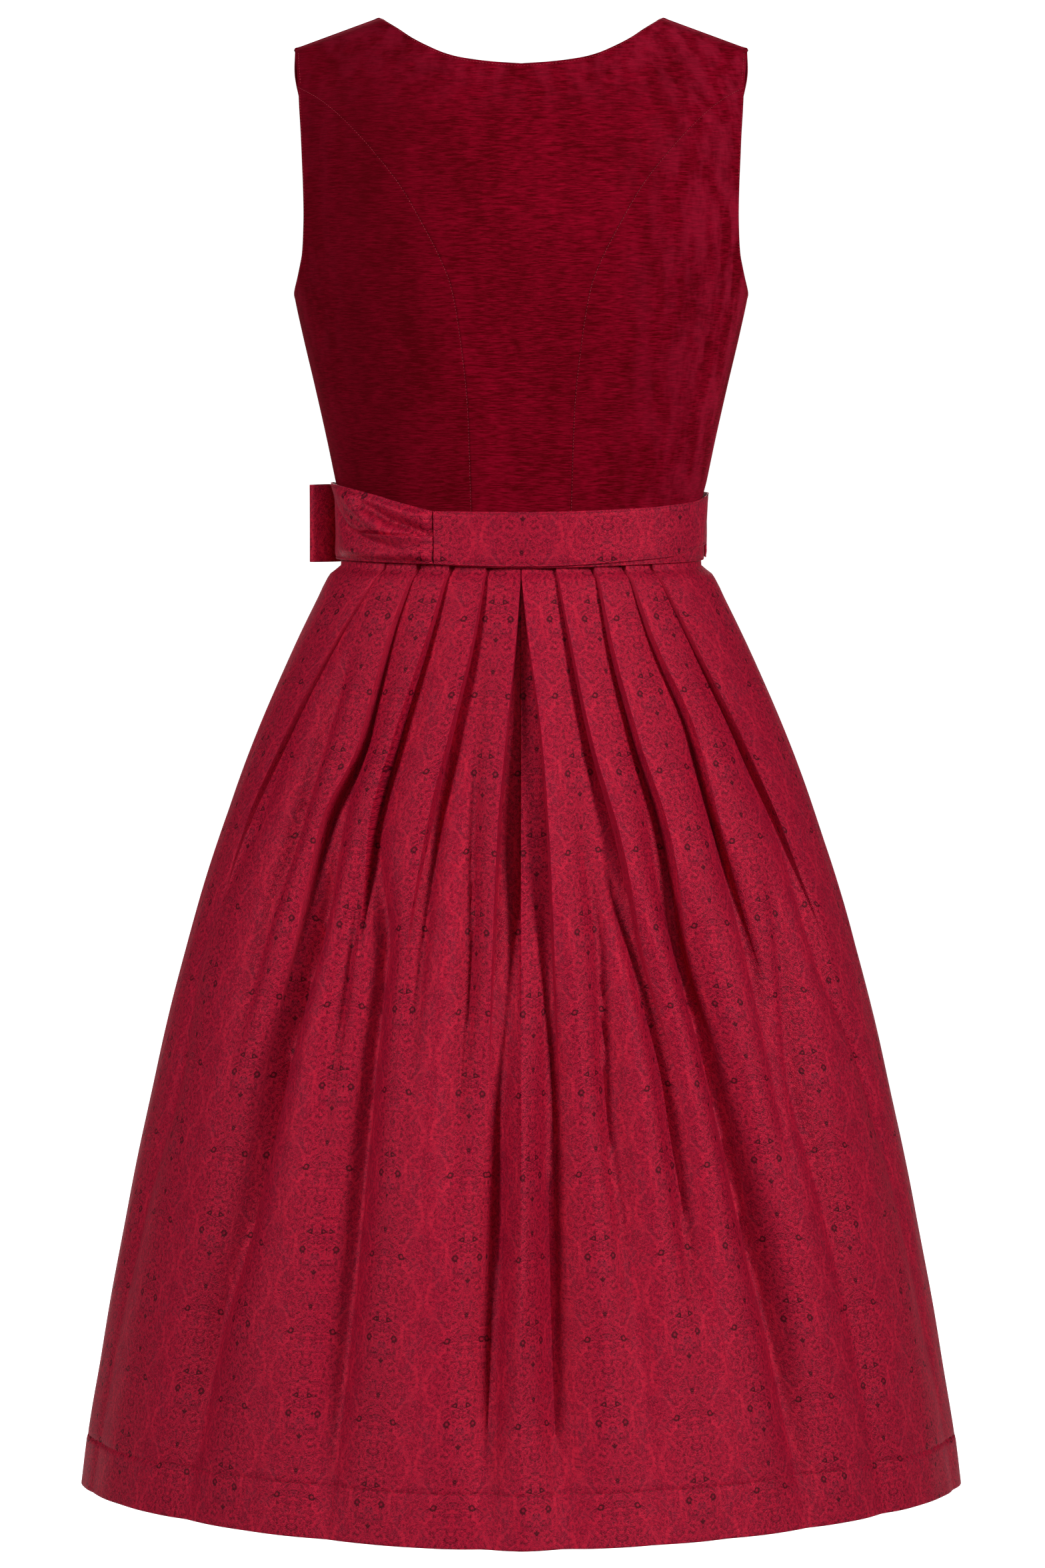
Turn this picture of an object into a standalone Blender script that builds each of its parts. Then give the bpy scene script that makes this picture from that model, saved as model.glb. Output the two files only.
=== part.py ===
"""A dirndl worn on an unseen figure: velvet bodice, pleated skirt, apron and tied sash.

Metres, +Z up. The wearer faces -Y and their left is +X. The origin lies midway between
the two shoulder rests, on the shoulder line. Tables are in millimetres.
"""
import math
from collections import namedtuple

import bpy
from mathutils import Vector

MM = 0.001

# Cloth
WALL = 1.6 * MM
SKIRT_WALL = 1.2 * MM
SEAM_GAP = 0.3 * MM
LAYER_GAP = 0.4 * MM

# Heights
WAIST_Z = -372 * MM
BODICE_BOTTOM = WAIST_Z + SEAM_GAP
UNDERARM_Z = -192 * MM

# Shoulder line: it falls from the neck point to the shoulder tip
NECK_X = 103 * MM
NECK_Z = 8.5 * MM
SHOULDER_SLOPE = 0.366
SHOULDER_ROUND = 75 * MM

# The figure's sections from the waist up, and the skirt's from the waist down
Section = namedtuple("Section", "z half_width back front power")
BODICE_SECTIONS = [
    Section(-392, 132.0, 92.2, 88.6, 2.10),
    Section(-372, 132.0, 92.2, 88.6, 2.10),
    Section(-345, 132.6, 92.8, 90.5, 2.12),
    Section(-328, 136.2, 95, 95, 2.16),
    Section(-299, 142.2, 99, 104, 2.20),
    Section(-260, 150.9, 104, 120, 2.24),
    Section(-221, 160.0, 107, 132, 2.26),
    Section(-192, 166.0, 108, 134, 2.26),
    Section(-150, 171.5, 107, 125, 2.26),
    Section(-110, 175.0, 102, 108, 2.24),
    Section(-70, 177.0, 90, 88, 2.22),
    Section(-30, 178.0, 68, 64, 2.20),
    Section(10, 178.0, 52, 46, 2.20),
]
SKIRT_SECTIONS = [
    Section(-372, 132.0, 92.2, 88.6, 2.10),
    Section(-390, 132.0, 92.2, 88.6, 2.10),
    Section(-397, 140.0, 98, 93, 2.08),
    Section(-416, 149.8, 106, 100, 2.06),
    Section(-455, 168.6, 121, 113, 2.04),
    Section(-504, 190.2, 138, 128, 2.00),
    Section(-573, 216.2, 160, 149, 1.95),
    Section(-652, 241.2, 185, 171, 1.89),
    Section(-731, 261.6, 206, 190, 1.84),
    Section(-810, 279.2, 225, 208, 1.79),
    Section(-889, 295.3, 242, 223, 1.74),
    Section(-969, 309.9, 257, 237, 1.69),
    Section(-1029, 320.0, 267, 246, 1.66),
    Section(-1070, 325.5, 273, 251, 1.65),
]
SKIRT_ROWS = [-372, -390, -397, -416, -450, -495, -550, -620, -700, -790, -880, -975, -1070]
APRON_ROWS = [-374, -390, -397, -416, -450, -495, -550, -620, -700, -790, -880, -975, -1022]

# Princess seams, armholes and necklines: distance from the centre line at each height
Point = namedtuple("Point", "z x")
BACK_PRINCESS = [
    Point(-372, 35.0), Point(-348, 35.9), Point(-277, 38.2), Point(-233, 42.5),
    Point(-188, 50.0), Point(-167, 58.1), Point(-144, 70.0), Point(-116, 86.2),
    Point(-94, 103.1), Point(-68, 126.9), Point(-52, 146.1), Point(-43, 161.9),
]
FRONT_PRINCESS = [
    Point(-372, 46.0), Point(-328, 50.0), Point(-277, 64.0), Point(-233, 80.0),
    Point(-205, 88.0), Point(-180, 96.0), Point(-155, 107.0), Point(-135, 120.0),
    Point(-120, 134.0), Point(-108, 153.0),
]
BACK_ARMHOLE = [
    Point(-192, 166.0), Point(-190.5, 165.6), Point(-187, 164.6), Point(-182, 163.1),
    Point(-173, 160.9), Point(-163, 158.9), Point(-150, 158.0), Point(-134, 157.6),
    Point(-115, 158.0), Point(-96, 158.8), Point(-77, 159.7), Point(-57, 161.1),
    Point(-43, 161.9), Point(-28, 163.4), Point(-14.2, 165.0),
]
FRONT_ARMHOLE = [
    Point(-192, 166.0), Point(-190.5, 165.2), Point(-187, 163.2), Point(-180, 160.2),
    Point(-168, 156.6), Point(-150, 153.2), Point(-130, 152.0), Point(-108, 153.0),
    Point(-80, 157.5), Point(-55, 162.0), Point(-30, 166.0), Point(-14.2, 165.0),
]
BACK_NECK = [
    Point(-27.0, 0), Point(-25.5, 20.6), Point(-22.4, 42.8), Point(-19.3, 54.4),
    Point(-13.1, 68.5), Point(-6.9, 79.8), Point(-0.7, 88.7), Point(4.4, 96.6),
    Point(8.5, 103.0),
]
FRONT_NECK = [
    Point(-168, 0), Point(-167, 14), Point(-162, 34), Point(-150, 50), Point(-130, 58),
    Point(-95, 63), Point(-60, 66), Point(-30, 69), Point(-12, 75), Point(0, 88),
    Point(8.5, 103.0),
]
LAP_X = 9 * MM

# Steps along the edges of the bodice panels
PRINCESS_STEPS = 12
ARMHOLE_STEPS = 9
YOKE_STEPS = 3
SHOULDER_STEPS = 3
BACK_NECK_STEPS = 5
FRONT_NECK_STEPS = 11
FRONT_STRAP_STEPS = 7
FRONT_COLUMNS = 6
STRAP_CROWD = 1.3
NECK_CROWD = 1.15

# Fold edges as shares of the half width at five heights, and how deep each opens
Fold = namedtuple("Fold", "waist hip thigh calf hem depth")
FOLD_LEVELS = [-397, -504, -681, -889, -1070]
BACK_LEFT_FOLDS = [
    Fold(0.735, 0.862, 0.905, 0.925, 0.930, 4),
    Fold(0.557, 0.588, 0.690, 0.790, 0.835, 12),
    Fold(0.376, 0.452, 0.455, 0.505, 0.560, 10),
    Fold(0.181, 0.283, 0.335, 0.350, 0.350, 6),
    Fold(0.004, 0.053, 0.100, 0.150, 0.180, 10),
]
BACK_RIGHT_FOLDS = [
    Fold(0.712, 0.812, 0.900, 0.930, 0.940, 4),
    Fold(0.566, 0.638, 0.725, 0.820, 0.850, 9),
    Fold(0.385, 0.440, 0.590, 0.680, 0.715, 12),
    Fold(0.181, 0.252, 0.405, 0.490, 0.500, 9),
    Fold(0.004, 0.073, 0.135, 0.175, 0.190, 10),
]
FRONT_FOLDS = [
    Fold(0.680, 0.760, 0.830, 0.860, 0.880, 6),
    Fold(0.455, 0.520, 0.590, 0.640, 0.670, 8),
    Fold(0.230, 0.290, 0.350, 0.390, 0.410, 8),
    Fold(0.004, 0.045, 0.090, 0.110, 0.120, 7),
]
FOLD_RETURN = 13 * MM
VALLEY_REACH = 24 * MM
CREST_REACH = 6 * MM
VALLEY_WIDTH = 9 * MM
CREST_SHARE = 0.35
VALLEY_SHARE = 0.93
CENTRE_SHARE = 0.8
SIDE_FLAT = 0.05
PRESSED_FROM = 0.34
PRESSED_SPAN = 0.32
BACK_STOPS = (0.20, 0.34, 0.66, 0.85)
FRONT_STOPS = (0.34, 0.66)
# How tightly the folds are pressed at each height: 1 flat, 0 an open wave
FOLDED = [(-397, 1.0), (-440, 0.92), (-504, 0.74), (-573, 0.50), (-652, 0.22), (-731, 0.05),
          (-810, 0.0)]

# Apron
APRON_HALF_ANGLE = 62
APRON_TOP_SHARE = 0.94
APRON_SPREAD_HEIGHT = 300
APRON_GATHERS = 12
APRON_CLEAR = 0.7 * MM
# Height of the gathers at each level
APRON_WAVES = [(-374, 0.7), (-405, 1.4), (-470, 3.0), (-600, 5.0), (-810, 6.5), (-1022, 7.5)]
APRON_STEPS = 4

# Sash: top and bottom edges by angle from the centre back, towards the wearer's left
Band = namedtuple("Band", "angle top bottom")
BAND_WALL = 1.4 * MM
UNDER_BAND_LIFT = 0.6 * MM
OUTER_BAND_LIFT = 2.4 * MM
FRONT_BAND_LIFT = 4.6 * MM
FRONT_TIE_LIFT = 6.5 * MM
RISE_START = 6.0
RISE_SPAN = 22.0
BAND_END_GAP = 0.13
UNDER_BAND_STEPS = 40
OUTER_BAND_STEPS = 28
LEFT_TIE_STEPS = 26
APRON_BAND_STEPS = 44
RIGHT_TIE_STEPS = 30
UNDER_BAND = [
    Band(-90, -352, -386.5), Band(-45, -354, -387.5), Band(0, -355, -389.5),
    Band(45, -355, -385.0), Band(90, -352, -383.0),
]
OUTER_BAND = [
    Band(-90, -337.5, -374.0), Band(-65, -343.3, -378.2), Band(-53, -344.8, -382.5),
    Band(-42, -346.3, -384.0), Band(0, -348.8, -388.4), Band(27, -348.5, -386.9),
]
LEFT_TIE = [
    Band(27, -348.5, -386.9), Band(40, -342.2, -386.5), Band(50, -337.3, -386.2),
    Band(66, -332.5, -386.0), Band(90, -330.0, -385.8), Band(140, -339.0, -380.5),
]
APRON_BAND = [
    Band(90, -345.0, -382.0), Band(180, -345.0, -383.0), Band(270, -345.0, -382.0),
]
RIGHT_TIE = [
    Band(140, -339.0, -380.5), Band(180, -338.0, -382.0), Band(270, -337.5, -385.0),
]

# Bow at the front left: a knot, a loop on each side and two hanging tails
KNOT_ANGLE = 140.0
KNOT_WIDTH = 30 * MM
KNOT_DEPTH = 18 * MM
KNOT_HEIGHT = 44 * MM
KNOT_RINGS = 6
KNOT_AROUND = 14
KNOT_TILT = 0.46 * math.pi
KNOT_TAPER = 0.45
KNOT_CORNER = 0.6
KNOT_DROP = 0.7
LOOP_STEPS = 10
SIDE_LOOP_END = Vector((155.3, -36, 0)) * MM
FRONT_LOOP_END = Vector((-26, -133, 0)) * MM
LOOP_THICKNESS = 12 * MM
LOOP_NECK_THICKNESS = 6.4 * MM
LOOP_TOP = -333 * MM
LOOP_BOTTOM = -390 * MM
LOOP_NECK_TOP = -344 * MM
LOOP_NECK_BOTTOM = -380 * MM
LOOP_FLARE = 1.6
LOOP_CORNER = 1.1
Tail = namedtuple("Tail", "angle width end lean cut knot_lift rest_lift")
TAIL_ROWS = 10
TAIL_COLUMNS = 5
TAIL_TOP_Z = -382.0 * MM
TAIL_TOP_WIDTH = 22
TAIL_FALL = 3.5
TAIL_RIPPLE = 2.5 * MM
TAILS = [
    ("tail_front", Tail(148, 54, -800, 4, 22, 15.6, 6.6)),
    ("tail_side", Tail(136, 54, -760, -5, -22, 17.8, 13.1)),
]

# Buttons down the front lap, one in the middle of each row of the panel
BUTTON_RADIUS = 5.5 * MM
BUTTON_DOME = 3.2 * MM
BUTTON_RIM = 0.8 * MM
BUTTON_COUNT = 6
BUTTON_RINGS = 4
BUTTON_AROUND = 12
BUTTON_CROWN = 0.44 * math.pi
SHARP_ANGLE = 40

COLOURS = {
    "velvet": ((0.235, 0.004, 0.012, 1), 0.85, 0.0),
    "jacquard": ((0.36, 0.010, 0.030, 1), 0.5, 0.0),
    "metal": ((0.45, 0.43, 0.40, 1), 0.35, 1.0),
}


def clear_scene():
    for item in list(bpy.data.objects):
        bpy.data.objects.remove(item, do_unlink=True)


def material(name, finish):
    colour, roughness, metallic = COLOURS[finish]
    made = bpy.data.materials.new(name)
    made.use_nodes = True
    shader = made.node_tree.nodes["Principled BSDF"]
    shader.inputs["Base Color"].default_value = colour
    shader.inputs["Roughness"].default_value = roughness
    shader.inputs["Metallic"].default_value = metallic
    return made


def mix(a, b, t):
    return a + (b - a) * t


def smooth_step(t):
    t = min(max(t, 0.0), 1.0)
    return t * t * (3 - 2 * t)


def ease(knots, values, at):
    """Smooth curve through values at rising knots."""
    if at <= knots[0]:
        return values[0]
    if at >= knots[-1]:
        return values[-1]
    i = max(k for k in range(len(knots) - 1) if knots[k] <= at)

    def rise(k):
        return (values[k + 1] - values[k]) / (knots[k + 1] - knots[k])

    def slope(k):
        if k == 0:
            return rise(0)
        if k == len(knots) - 1:
            return rise(k - 1)
        low, high = rise(k - 1), rise(k)
        return 2 * low * high / (low + high) if low * high > 0 else 0.0

    span = knots[i + 1] - knots[i]
    t = (at - knots[i]) / span
    h00 = (1 + 2 * t) * (1 - t) ** 2
    h10 = t * (1 - t) ** 2
    h01 = t * t * (3 - 2 * t)
    h11 = t * t * (t - 1)
    return h00 * values[i] + h10 * span * slope(i) + h01 * values[i + 1] + h11 * span * slope(i + 1)


def column(rows, name, z):
    rows = sorted(rows, key=lambda row: row.z)
    return ease([row.z for row in rows], [getattr(row, name) for row in rows], z / MM)


def by_height(pairs, z):
    pairs = sorted(pairs)
    return ease([p[0] for p in pairs], [p[1] for p in pairs], z / MM)


def shoulder_height(x):
    return NECK_Z - SHOULDER_SLOPE * (abs(x) - NECK_X)


def signed_power(value, power):
    return math.copysign(abs(value) ** power, value)


def body_point(angle, z, lift=0.0):
    """Point of the bodice form. The angle runs from the centre back to the wearer's left."""
    half = column(BODICE_SECTIONS, "half_width", z) * MM
    power = column(BODICE_SECTIONS, "power", z)
    x = half * signed_power(math.sin(angle), 2 / power)
    depth_name = "back" if math.cos(angle) >= 0 else "front"
    depth = column(BODICE_SECTIONS, depth_name, z) * MM
    below = min(max((shoulder_height(x) - z) / SHOULDER_ROUND, 0.0), 1.0)
    y = depth * signed_power(math.cos(angle), 2 / power) * math.sqrt(1 - (1 - below) ** 2)
    point = Vector((x, y, z))
    return point + body_normal(angle, z) * lift if lift else point


def body_normal(angle, z):
    step = 0.004
    here = body_point(angle, z - 0.0035)
    along = body_point(angle + step, z - 0.0035) - body_point(angle - step, z - 0.0035)
    up = here - body_point(angle, z - 0.0055)
    return along.cross(up).normalized() * -1


def body_angle(x, z, back=True):
    """Angle at which the form is x from the centre line."""
    half = column(BODICE_SECTIONS, "half_width", z) * MM
    power = column(BODICE_SECTIONS, "power", z)
    share = min(max(x / half, -1.0), 1.0)
    angle = math.asin(signed_power(share, power / 2))
    return angle if back else math.pi - angle


def skirt_point(angle, z):
    half = column(SKIRT_SECTIONS, "half_width", z) * MM
    power = column(SKIRT_SECTIONS, "power", z)
    depth = column(SKIRT_SECTIONS, "back" if math.cos(angle) >= 0 else "front", z) * MM
    return Vector((half * signed_power(math.sin(angle), 2 / power),
                   depth * signed_power(math.cos(angle), 2 / power), z))


def skirt_frame(angle, z):
    """Point, outward direction in plan, and metres per radian."""
    step = 0.01
    tangent = skirt_point(angle + step, z) - skirt_point(angle - step, z)
    speed = max(tangent.length / (2 * step), 0.02)
    outward = Vector((-tangent.y, tangent.x, 0)).normalized()
    point = skirt_point(angle, z)
    if outward.dot(point) < 0:
        outward = -outward
    return point, outward, speed


def bodice_angles(points, back):
    """Turns (x, z) places in metres into (angle, z) on the form."""
    return [(body_angle(x, z, back), z) for x, z in points]


def trace(points, steps, crowd=1.0):
    """Evenly spaced (x, z) places in metres along a smooth line through the points."""
    knots = [0.0]
    for before, after in zip(points, points[1:]):
        knots.append(knots[-1] + math.hypot(after.x - before.x, after.z - before.z))
    xs = [p.x * MM for p in points]
    zs = [p.z * MM for p in points]
    shares = [1 - (1 - i / steps) ** crowd for i in range(steps + 1)]
    return [(ease(knots, xs, share * knots[-1]), ease(knots, zs, share * knots[-1]))
            for share in shares]


def beside(line, distance):
    """The line moved sideways, to its left as it runs."""
    moved = []
    for i, (x, z) in enumerate(line):
        x0, z0 = line[max(i - 1, 0)]
        x1, z1 = line[min(i + 1, len(line) - 1)]
        length = math.hypot(x1 - x0, z1 - z0)
        moved.append((x - (z1 - z0) / length * distance, z + (x1 - x0) / length * distance))
    return moved


def straight(start, end, steps):
    return [(mix(start[0], end[0], i / steps), mix(start[1], end[1], i / steps))
            for i in range(steps + 1)]


def shoulder_line(x_start, x_end, steps):
    return [(x, shoulder_height(x)) for x, _ in straight((x_start, 0), (x_end, 0), steps)]


def filled(bottom, top, left, right):
    """Grid of places between four edges that share their corners."""
    rows, columns = len(left) - 1, len(bottom) - 1
    grid = []
    for r in range(rows + 1):
        v = r / rows
        line = []
        for c in range(columns + 1):
            u = c / columns
            place = []
            for k in (0, 1):
                edges = mix(bottom[c][k], top[c][k], v) + mix(left[r][k], right[r][k], u)
                low = mix(bottom[0][k], bottom[-1][k], u)
                high = mix(top[0][k], top[-1][k], u)
                place.append(edges - mix(low, high, v))
            line.append(tuple(place))
        grid.append(line)
    return grid


def add_object(name, verts, faces, finish, smooth=True):
    mesh = bpy.data.meshes.new(name)
    mesh.from_pydata([tuple(v) for v in verts], [], faces)
    made = bpy.data.objects.new(name, mesh)
    bpy.context.scene.collection.objects.link(made)
    mesh.materials.append(material(name, finish))
    if signed_volume(mesh) < 0:
        mesh.flip_normals()
    if smooth:
        mesh.shade_smooth()
        mesh.set_sharp_from_angle(angle=math.radians(SHARP_ANGLE))
    return made


def signed_volume(mesh):
    total = 0.0
    for face in mesh.polygons:
        corners = [mesh.vertices[i].co for i in face.vertices]
        for b, c in zip(corners[1:], corners[2:]):
            total += corners[0].dot(b.cross(c))
    return total / 6


def wall_between(name, outer, inner, finish, closed=False):
    """Closed wall from two matching grids of points. A closed one joins its first column."""
    rows, columns = len(outer), len(outer[0])
    verts = [p for row in outer for p in row] + [p for row in inner for p in row]
    shift = rows * columns

    def at(r, c):
        return r * columns + c % columns

    faces = []
    for r in range(rows - 1):
        for c in range(columns if closed else columns - 1):
            quad = (at(r, c), at(r, c + 1), at(r + 1, c + 1), at(r + 1, c))
            faces.append(quad)
            faces.append(tuple(shift + i for i in reversed(quad)))
    for c in range(columns if closed else columns - 1):
        low = (at(0, c), at(0, c + 1))
        high = (at(rows - 1, c), at(rows - 1, c + 1))
        faces.append((low[1], low[0], shift + low[0], shift + low[1]))
        faces.append((high[0], high[1], shift + high[1], shift + high[0]))
    if not closed:
        for r in range(rows - 1):
            near = (at(r, 0), at(r + 1, 0))
            far = (at(r, columns - 1), at(r + 1, columns - 1))
            faces.append((near[0], near[1], shift + near[1], shift + near[0]))
            faces.append((far[1], far[0], shift + far[0], shift + far[1]))
    return add_object(name, verts, faces, finish)


def bodice_panel(name, bottom, top, left, right, back):
    """Velvet panel on the form, half a seam gap back from the side and shoulder seams."""
    side = 1 if back else -1
    edges = [bodice_angles(edge, back) for edge in (bottom, top, left, right)]
    outer, inner = [], []
    for line in filled(*edges):
        outside = [body_point(a, z) + Vector((0, side * SEAM_GAP / 2, 0)) for a, z in line]
        inside = [p - body_normal(a, z) * WALL for p, (a, z) in zip(outside, line)]
        for p in inside:
            p.y = side * max(side * p.y, SEAM_GAP / 2)
        outer.append(outside)
        inner.append(inside)
    wall_between(name, outer, inner, "velvet")
    return outer


def mirrored(line):
    return [(-x, z) for x, z in line]


def lifted_foot(line):
    """Princess line with its foot a gap above the waist seam."""
    return [(line[0][0], BODICE_BOTTOM)] + line[1:]


def upper_part(points, z_low):
    return [p for p in points if p.z >= z_low]


def lower_part(points, z_high):
    return [p for p in points if p.z <= z_high]


def build_back():
    seam = lifted_foot(trace(BACK_PRINCESS, PRINCESS_STEPS))
    corner_z = BACK_PRINCESS[-1].z
    yoke_edge = trace(upper_part(BACK_ARMHOLE, corner_z), YOKE_STEPS)
    centre_side = beside(seam, SEAM_GAP / 2)
    left = centre_side + yoke_edge[1:]
    neck = trace(BACK_NECK, BACK_NECK_STEPS)
    shoulder = shoulder_line(neck[-1][0], yoke_edge[-1][0], SHOULDER_STEPS)
    top_half = neck + shoulder[1:]
    top_half[-1] = left[-1]
    top = mirrored(top_half[:0:-1]) + top_half
    foot = centre_side[0]
    bottom = straight((-foot[0], foot[1]), foot, len(top) - 1)
    bodice_panel("back_centre", bottom, top, mirrored(left), left, True)

    side_seam = side_seam_line()
    inner_side = beside(seam, -SEAM_GAP / 2)
    armhole = trace(lower_part(BACK_ARMHOLE, corner_z), ARMHOLE_STEPS)[::-1]
    armhole[0] = inner_side[-1]
    armhole[-1] = side_seam[-1]
    bottom = straight(inner_side[0], side_seam[0], ARMHOLE_STEPS)
    bodice_panel("back_side_left", bottom, armhole, inner_side, side_seam, True)
    bodice_panel("back_side_right", mirrored(bottom), mirrored(armhole), mirrored(inner_side),
                 mirrored(side_seam), True)


def side_seam_line():
    heights = straight((0, BODICE_BOTTOM), (0, UNDERARM_Z), PRINCESS_STEPS)
    return [(column(BODICE_SECTIONS, "half_width", z) * MM, z) for _, z in heights]


def build_front():
    """Front panels. Returns the outer points of the one that carries the buttons."""
    seam = lifted_foot(trace(FRONT_PRINCESS, PRINCESS_STEPS))
    corner_z = FRONT_PRINCESS[-1].z
    strap_edge = trace(upper_part(FRONT_ARMHOLE, corner_z), FRONT_STRAP_STEPS, STRAP_CROWD)
    inner_side = beside(seam, SEAM_GAP / 2)
    outer_edge = inner_side + strap_edge[1:]
    neck = trace(FRONT_NECK, FRONT_NECK_STEPS, NECK_CROWD)
    centre_steps = len(outer_edge) - len(neck)
    lap_panel = []
    for name, lap in (("left", LAP_X + SEAM_GAP), ("right", -LAP_X)):
        start = (lap, neck[0][1])
        inner_edge = straight((lap, BODICE_BOTTOM), start, centre_steps) + neck[1:]
        top = shoulder_line(inner_edge[-1][0], outer_edge[-1][0], FRONT_COLUMNS)
        top[0], top[-1] = inner_edge[-1], outer_edge[-1]
        bottom = straight(inner_edge[0], outer_edge[0], FRONT_COLUMNS)
        if name == "left":
            bodice_panel("front_centre_left", bottom, top, inner_edge, outer_edge, False)
        else:
            lap_panel = bodice_panel("front_centre_right", mirrored(bottom), mirrored(top),
                                     mirrored(inner_edge), mirrored(outer_edge), False)

    side_seam = side_seam_line()
    outer_side = beside(seam, -SEAM_GAP / 2)
    armhole = trace(lower_part(FRONT_ARMHOLE, corner_z), ARMHOLE_STEPS)[::-1]
    armhole[0] = outer_side[-1]
    armhole[-1] = side_seam[-1]
    bottom = straight(outer_side[0], side_seam[0], ARMHOLE_STEPS)
    bodice_panel("front_side_left", bottom, armhole, outer_side, side_seam, False)
    bodice_panel("front_side_right", mirrored(bottom), mirrored(armhole), mirrored(outer_side),
                 mirrored(side_seam), False)
    return lap_panel[:centre_steps + 1]


def fold_angle(fold, z):
    """Angle of a fold's edge at a height, from the centre line."""
    share = ease(FOLD_LEVELS[::-1], list(fold[:5])[::-1], z / MM)
    power = column(SKIRT_SECTIONS, "power", z)
    return math.asin(share ** (power / 2))


def skirt_half(folds, z, back):
    """Outer plan line of one half, from the side seam to the centre, as (angle, depth)."""
    folded = by_height(FOLDED, z)
    stack = 2 * (SKIRT_WALL + LAYER_GAP)
    start = math.pi / 2 - SIDE_FLAT
    line = [(math.pi / 2, 0.0), (start, 0.0)]
    start_depth = 0.0
    for fold in folds:
        edge = fold_angle(fold, z)
        speed = skirt_frame(edge if back else math.pi - edge, z)[2]
        open_depth = fold.depth * MM
        reach = mix(-VALLEY_REACH, FOLD_RETURN, folded) / speed
        crest = CREST_REACH / speed * (1 - folded)
        spread = VALLEY_WIDTH / speed * (1 - folded)
        low = mix(open_depth, stack, folded)
        for stop in BACK_STOPS if back else FRONT_STOPS:
            flat = min(max((stop - PRESSED_FROM) / PRESSED_SPAN, 0.0), 1.0)
            pressed = start_depth * (1 - flat)
            eased = start_depth * (1 - smooth_step(stop))
            line.append((mix(start, edge, stop), mix(eased, pressed, folded)))
        under = stack - LAYER_GAP
        line.append((edge, 0.0))
        line.append((edge - crest, mix(CREST_SHARE * open_depth, under, folded)))
        line.append((edge + reach + spread / 2, mix(VALLEY_SHARE * open_depth, under, folded)))
        line.append((edge + reach - spread / 2, low))
        start, start_depth = edge + reach - spread / 2, low
    return line


def skirt_plan(left_folds, right_folds, z, back):
    """Outer plan points from the wearer's left side seam round to the right one."""
    left = skirt_half(left_folds, z, back)
    right = skirt_half(right_folds, z, back)
    shallow = CENTRE_SHARE * min(left[-1][1], right[-1][1])
    middle_depth = mix(shallow, left[-1][1], by_height(FOLDED, z))
    around = left + [(0.0, middle_depth)] + [(-a, d) for a, d in reversed(right)]
    points = []
    for angle, depth in around:
        point, outward, _ = skirt_frame(angle if back else math.pi - angle, z)
        points.append(point - outward * depth)
    half_gap = SEAM_GAP / 2 if back else -SEAM_GAP / 2
    points[0].y = points[-1].y = half_gap
    return points


def plan_offset(points, distance, back):
    """The plan line moved towards the inside of the skirt, with mitred corners."""
    side = 1 if back else -1
    moved = []
    for i, p in enumerate(points):
        before = points[max(i - 1, 0)]
        after = points[min(i + 1, len(points) - 1)]
        normals = []
        for a, b in ((before, p), (p, after)):
            step = b - a
            if step.length > 1e-7:
                normals.append(Vector((-step.y, step.x, 0)).normalized() * side)
        if len(normals) == 1:
            normals = normals * 2
        bisector = (normals[0] + normals[1])
        bisector = bisector.normalized() if bisector.length > 0.2 else normals[0]
        stretch = min(1 / max(bisector.dot(normals[0]), 0.45), 1.6)
        moved.append(p + bisector * distance * stretch)
    for end in (0, -1):
        moved[end] = points[end] - Vector((math.copysign(distance, points[end].x), 0, 0))
    return moved


def build_skirt():
    sides = (("skirt_back", BACK_LEFT_FOLDS, BACK_RIGHT_FOLDS, True),
             ("skirt_front", FRONT_FOLDS, FRONT_FOLDS, False))
    for name, left, right, back in sides:
        outer = [skirt_plan(left, right, z * MM, back) for z in SKIRT_ROWS]
        inner = [plan_offset(row, SKIRT_WALL, back) for row in outer]
        wall_between(name, outer, inner, "jacquard")


def apron_lift(angle, z):
    """How far the apron stands off the skirt, gathered into soft ridges."""
    height = by_height(APRON_WAVES, z) * MM
    share = (math.degrees(angle) - 180) / APRON_HALF_ANGLE
    ridge = 0.5 + 0.5 * math.cos(share * math.pi * APRON_GATHERS)
    uneven = 0.75 + 0.25 * math.sin(share * 9 + 1.3)
    return APRON_CLEAR + height * ridge * uneven


def lifted_skirt(angle, z, lift):
    point, outward, _ = skirt_frame(angle, z)
    return point + outward * lift


def build_apron():
    columns = APRON_GATHERS * APRON_STEPS
    outer, inner = [], []
    for z in APRON_ROWS:
        spread = mix(APRON_TOP_SHARE, 1.0, smooth_step((APRON_ROWS[0] - z) / APRON_SPREAD_HEIGHT))
        angles = [math.radians(180 + APRON_HALF_ANGLE * spread * (2 * c / columns - 1))
                  for c in range(columns + 1)]
        lifts = [apron_lift(a, z * MM) for a in angles]
        inner.append([lifted_skirt(a, z * MM, lift) for a, lift in zip(angles, lifts)])
        outer.append([lifted_skirt(a, z * MM, lift + SKIRT_WALL)
                      for a, lift in zip(angles, lifts)])
    wall_between("apron", outer, inner, "jacquard")


def band_edge(rows, name, angle):
    return ease([row.angle for row in rows], [getattr(row, name) for row in rows], angle) * MM


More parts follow.
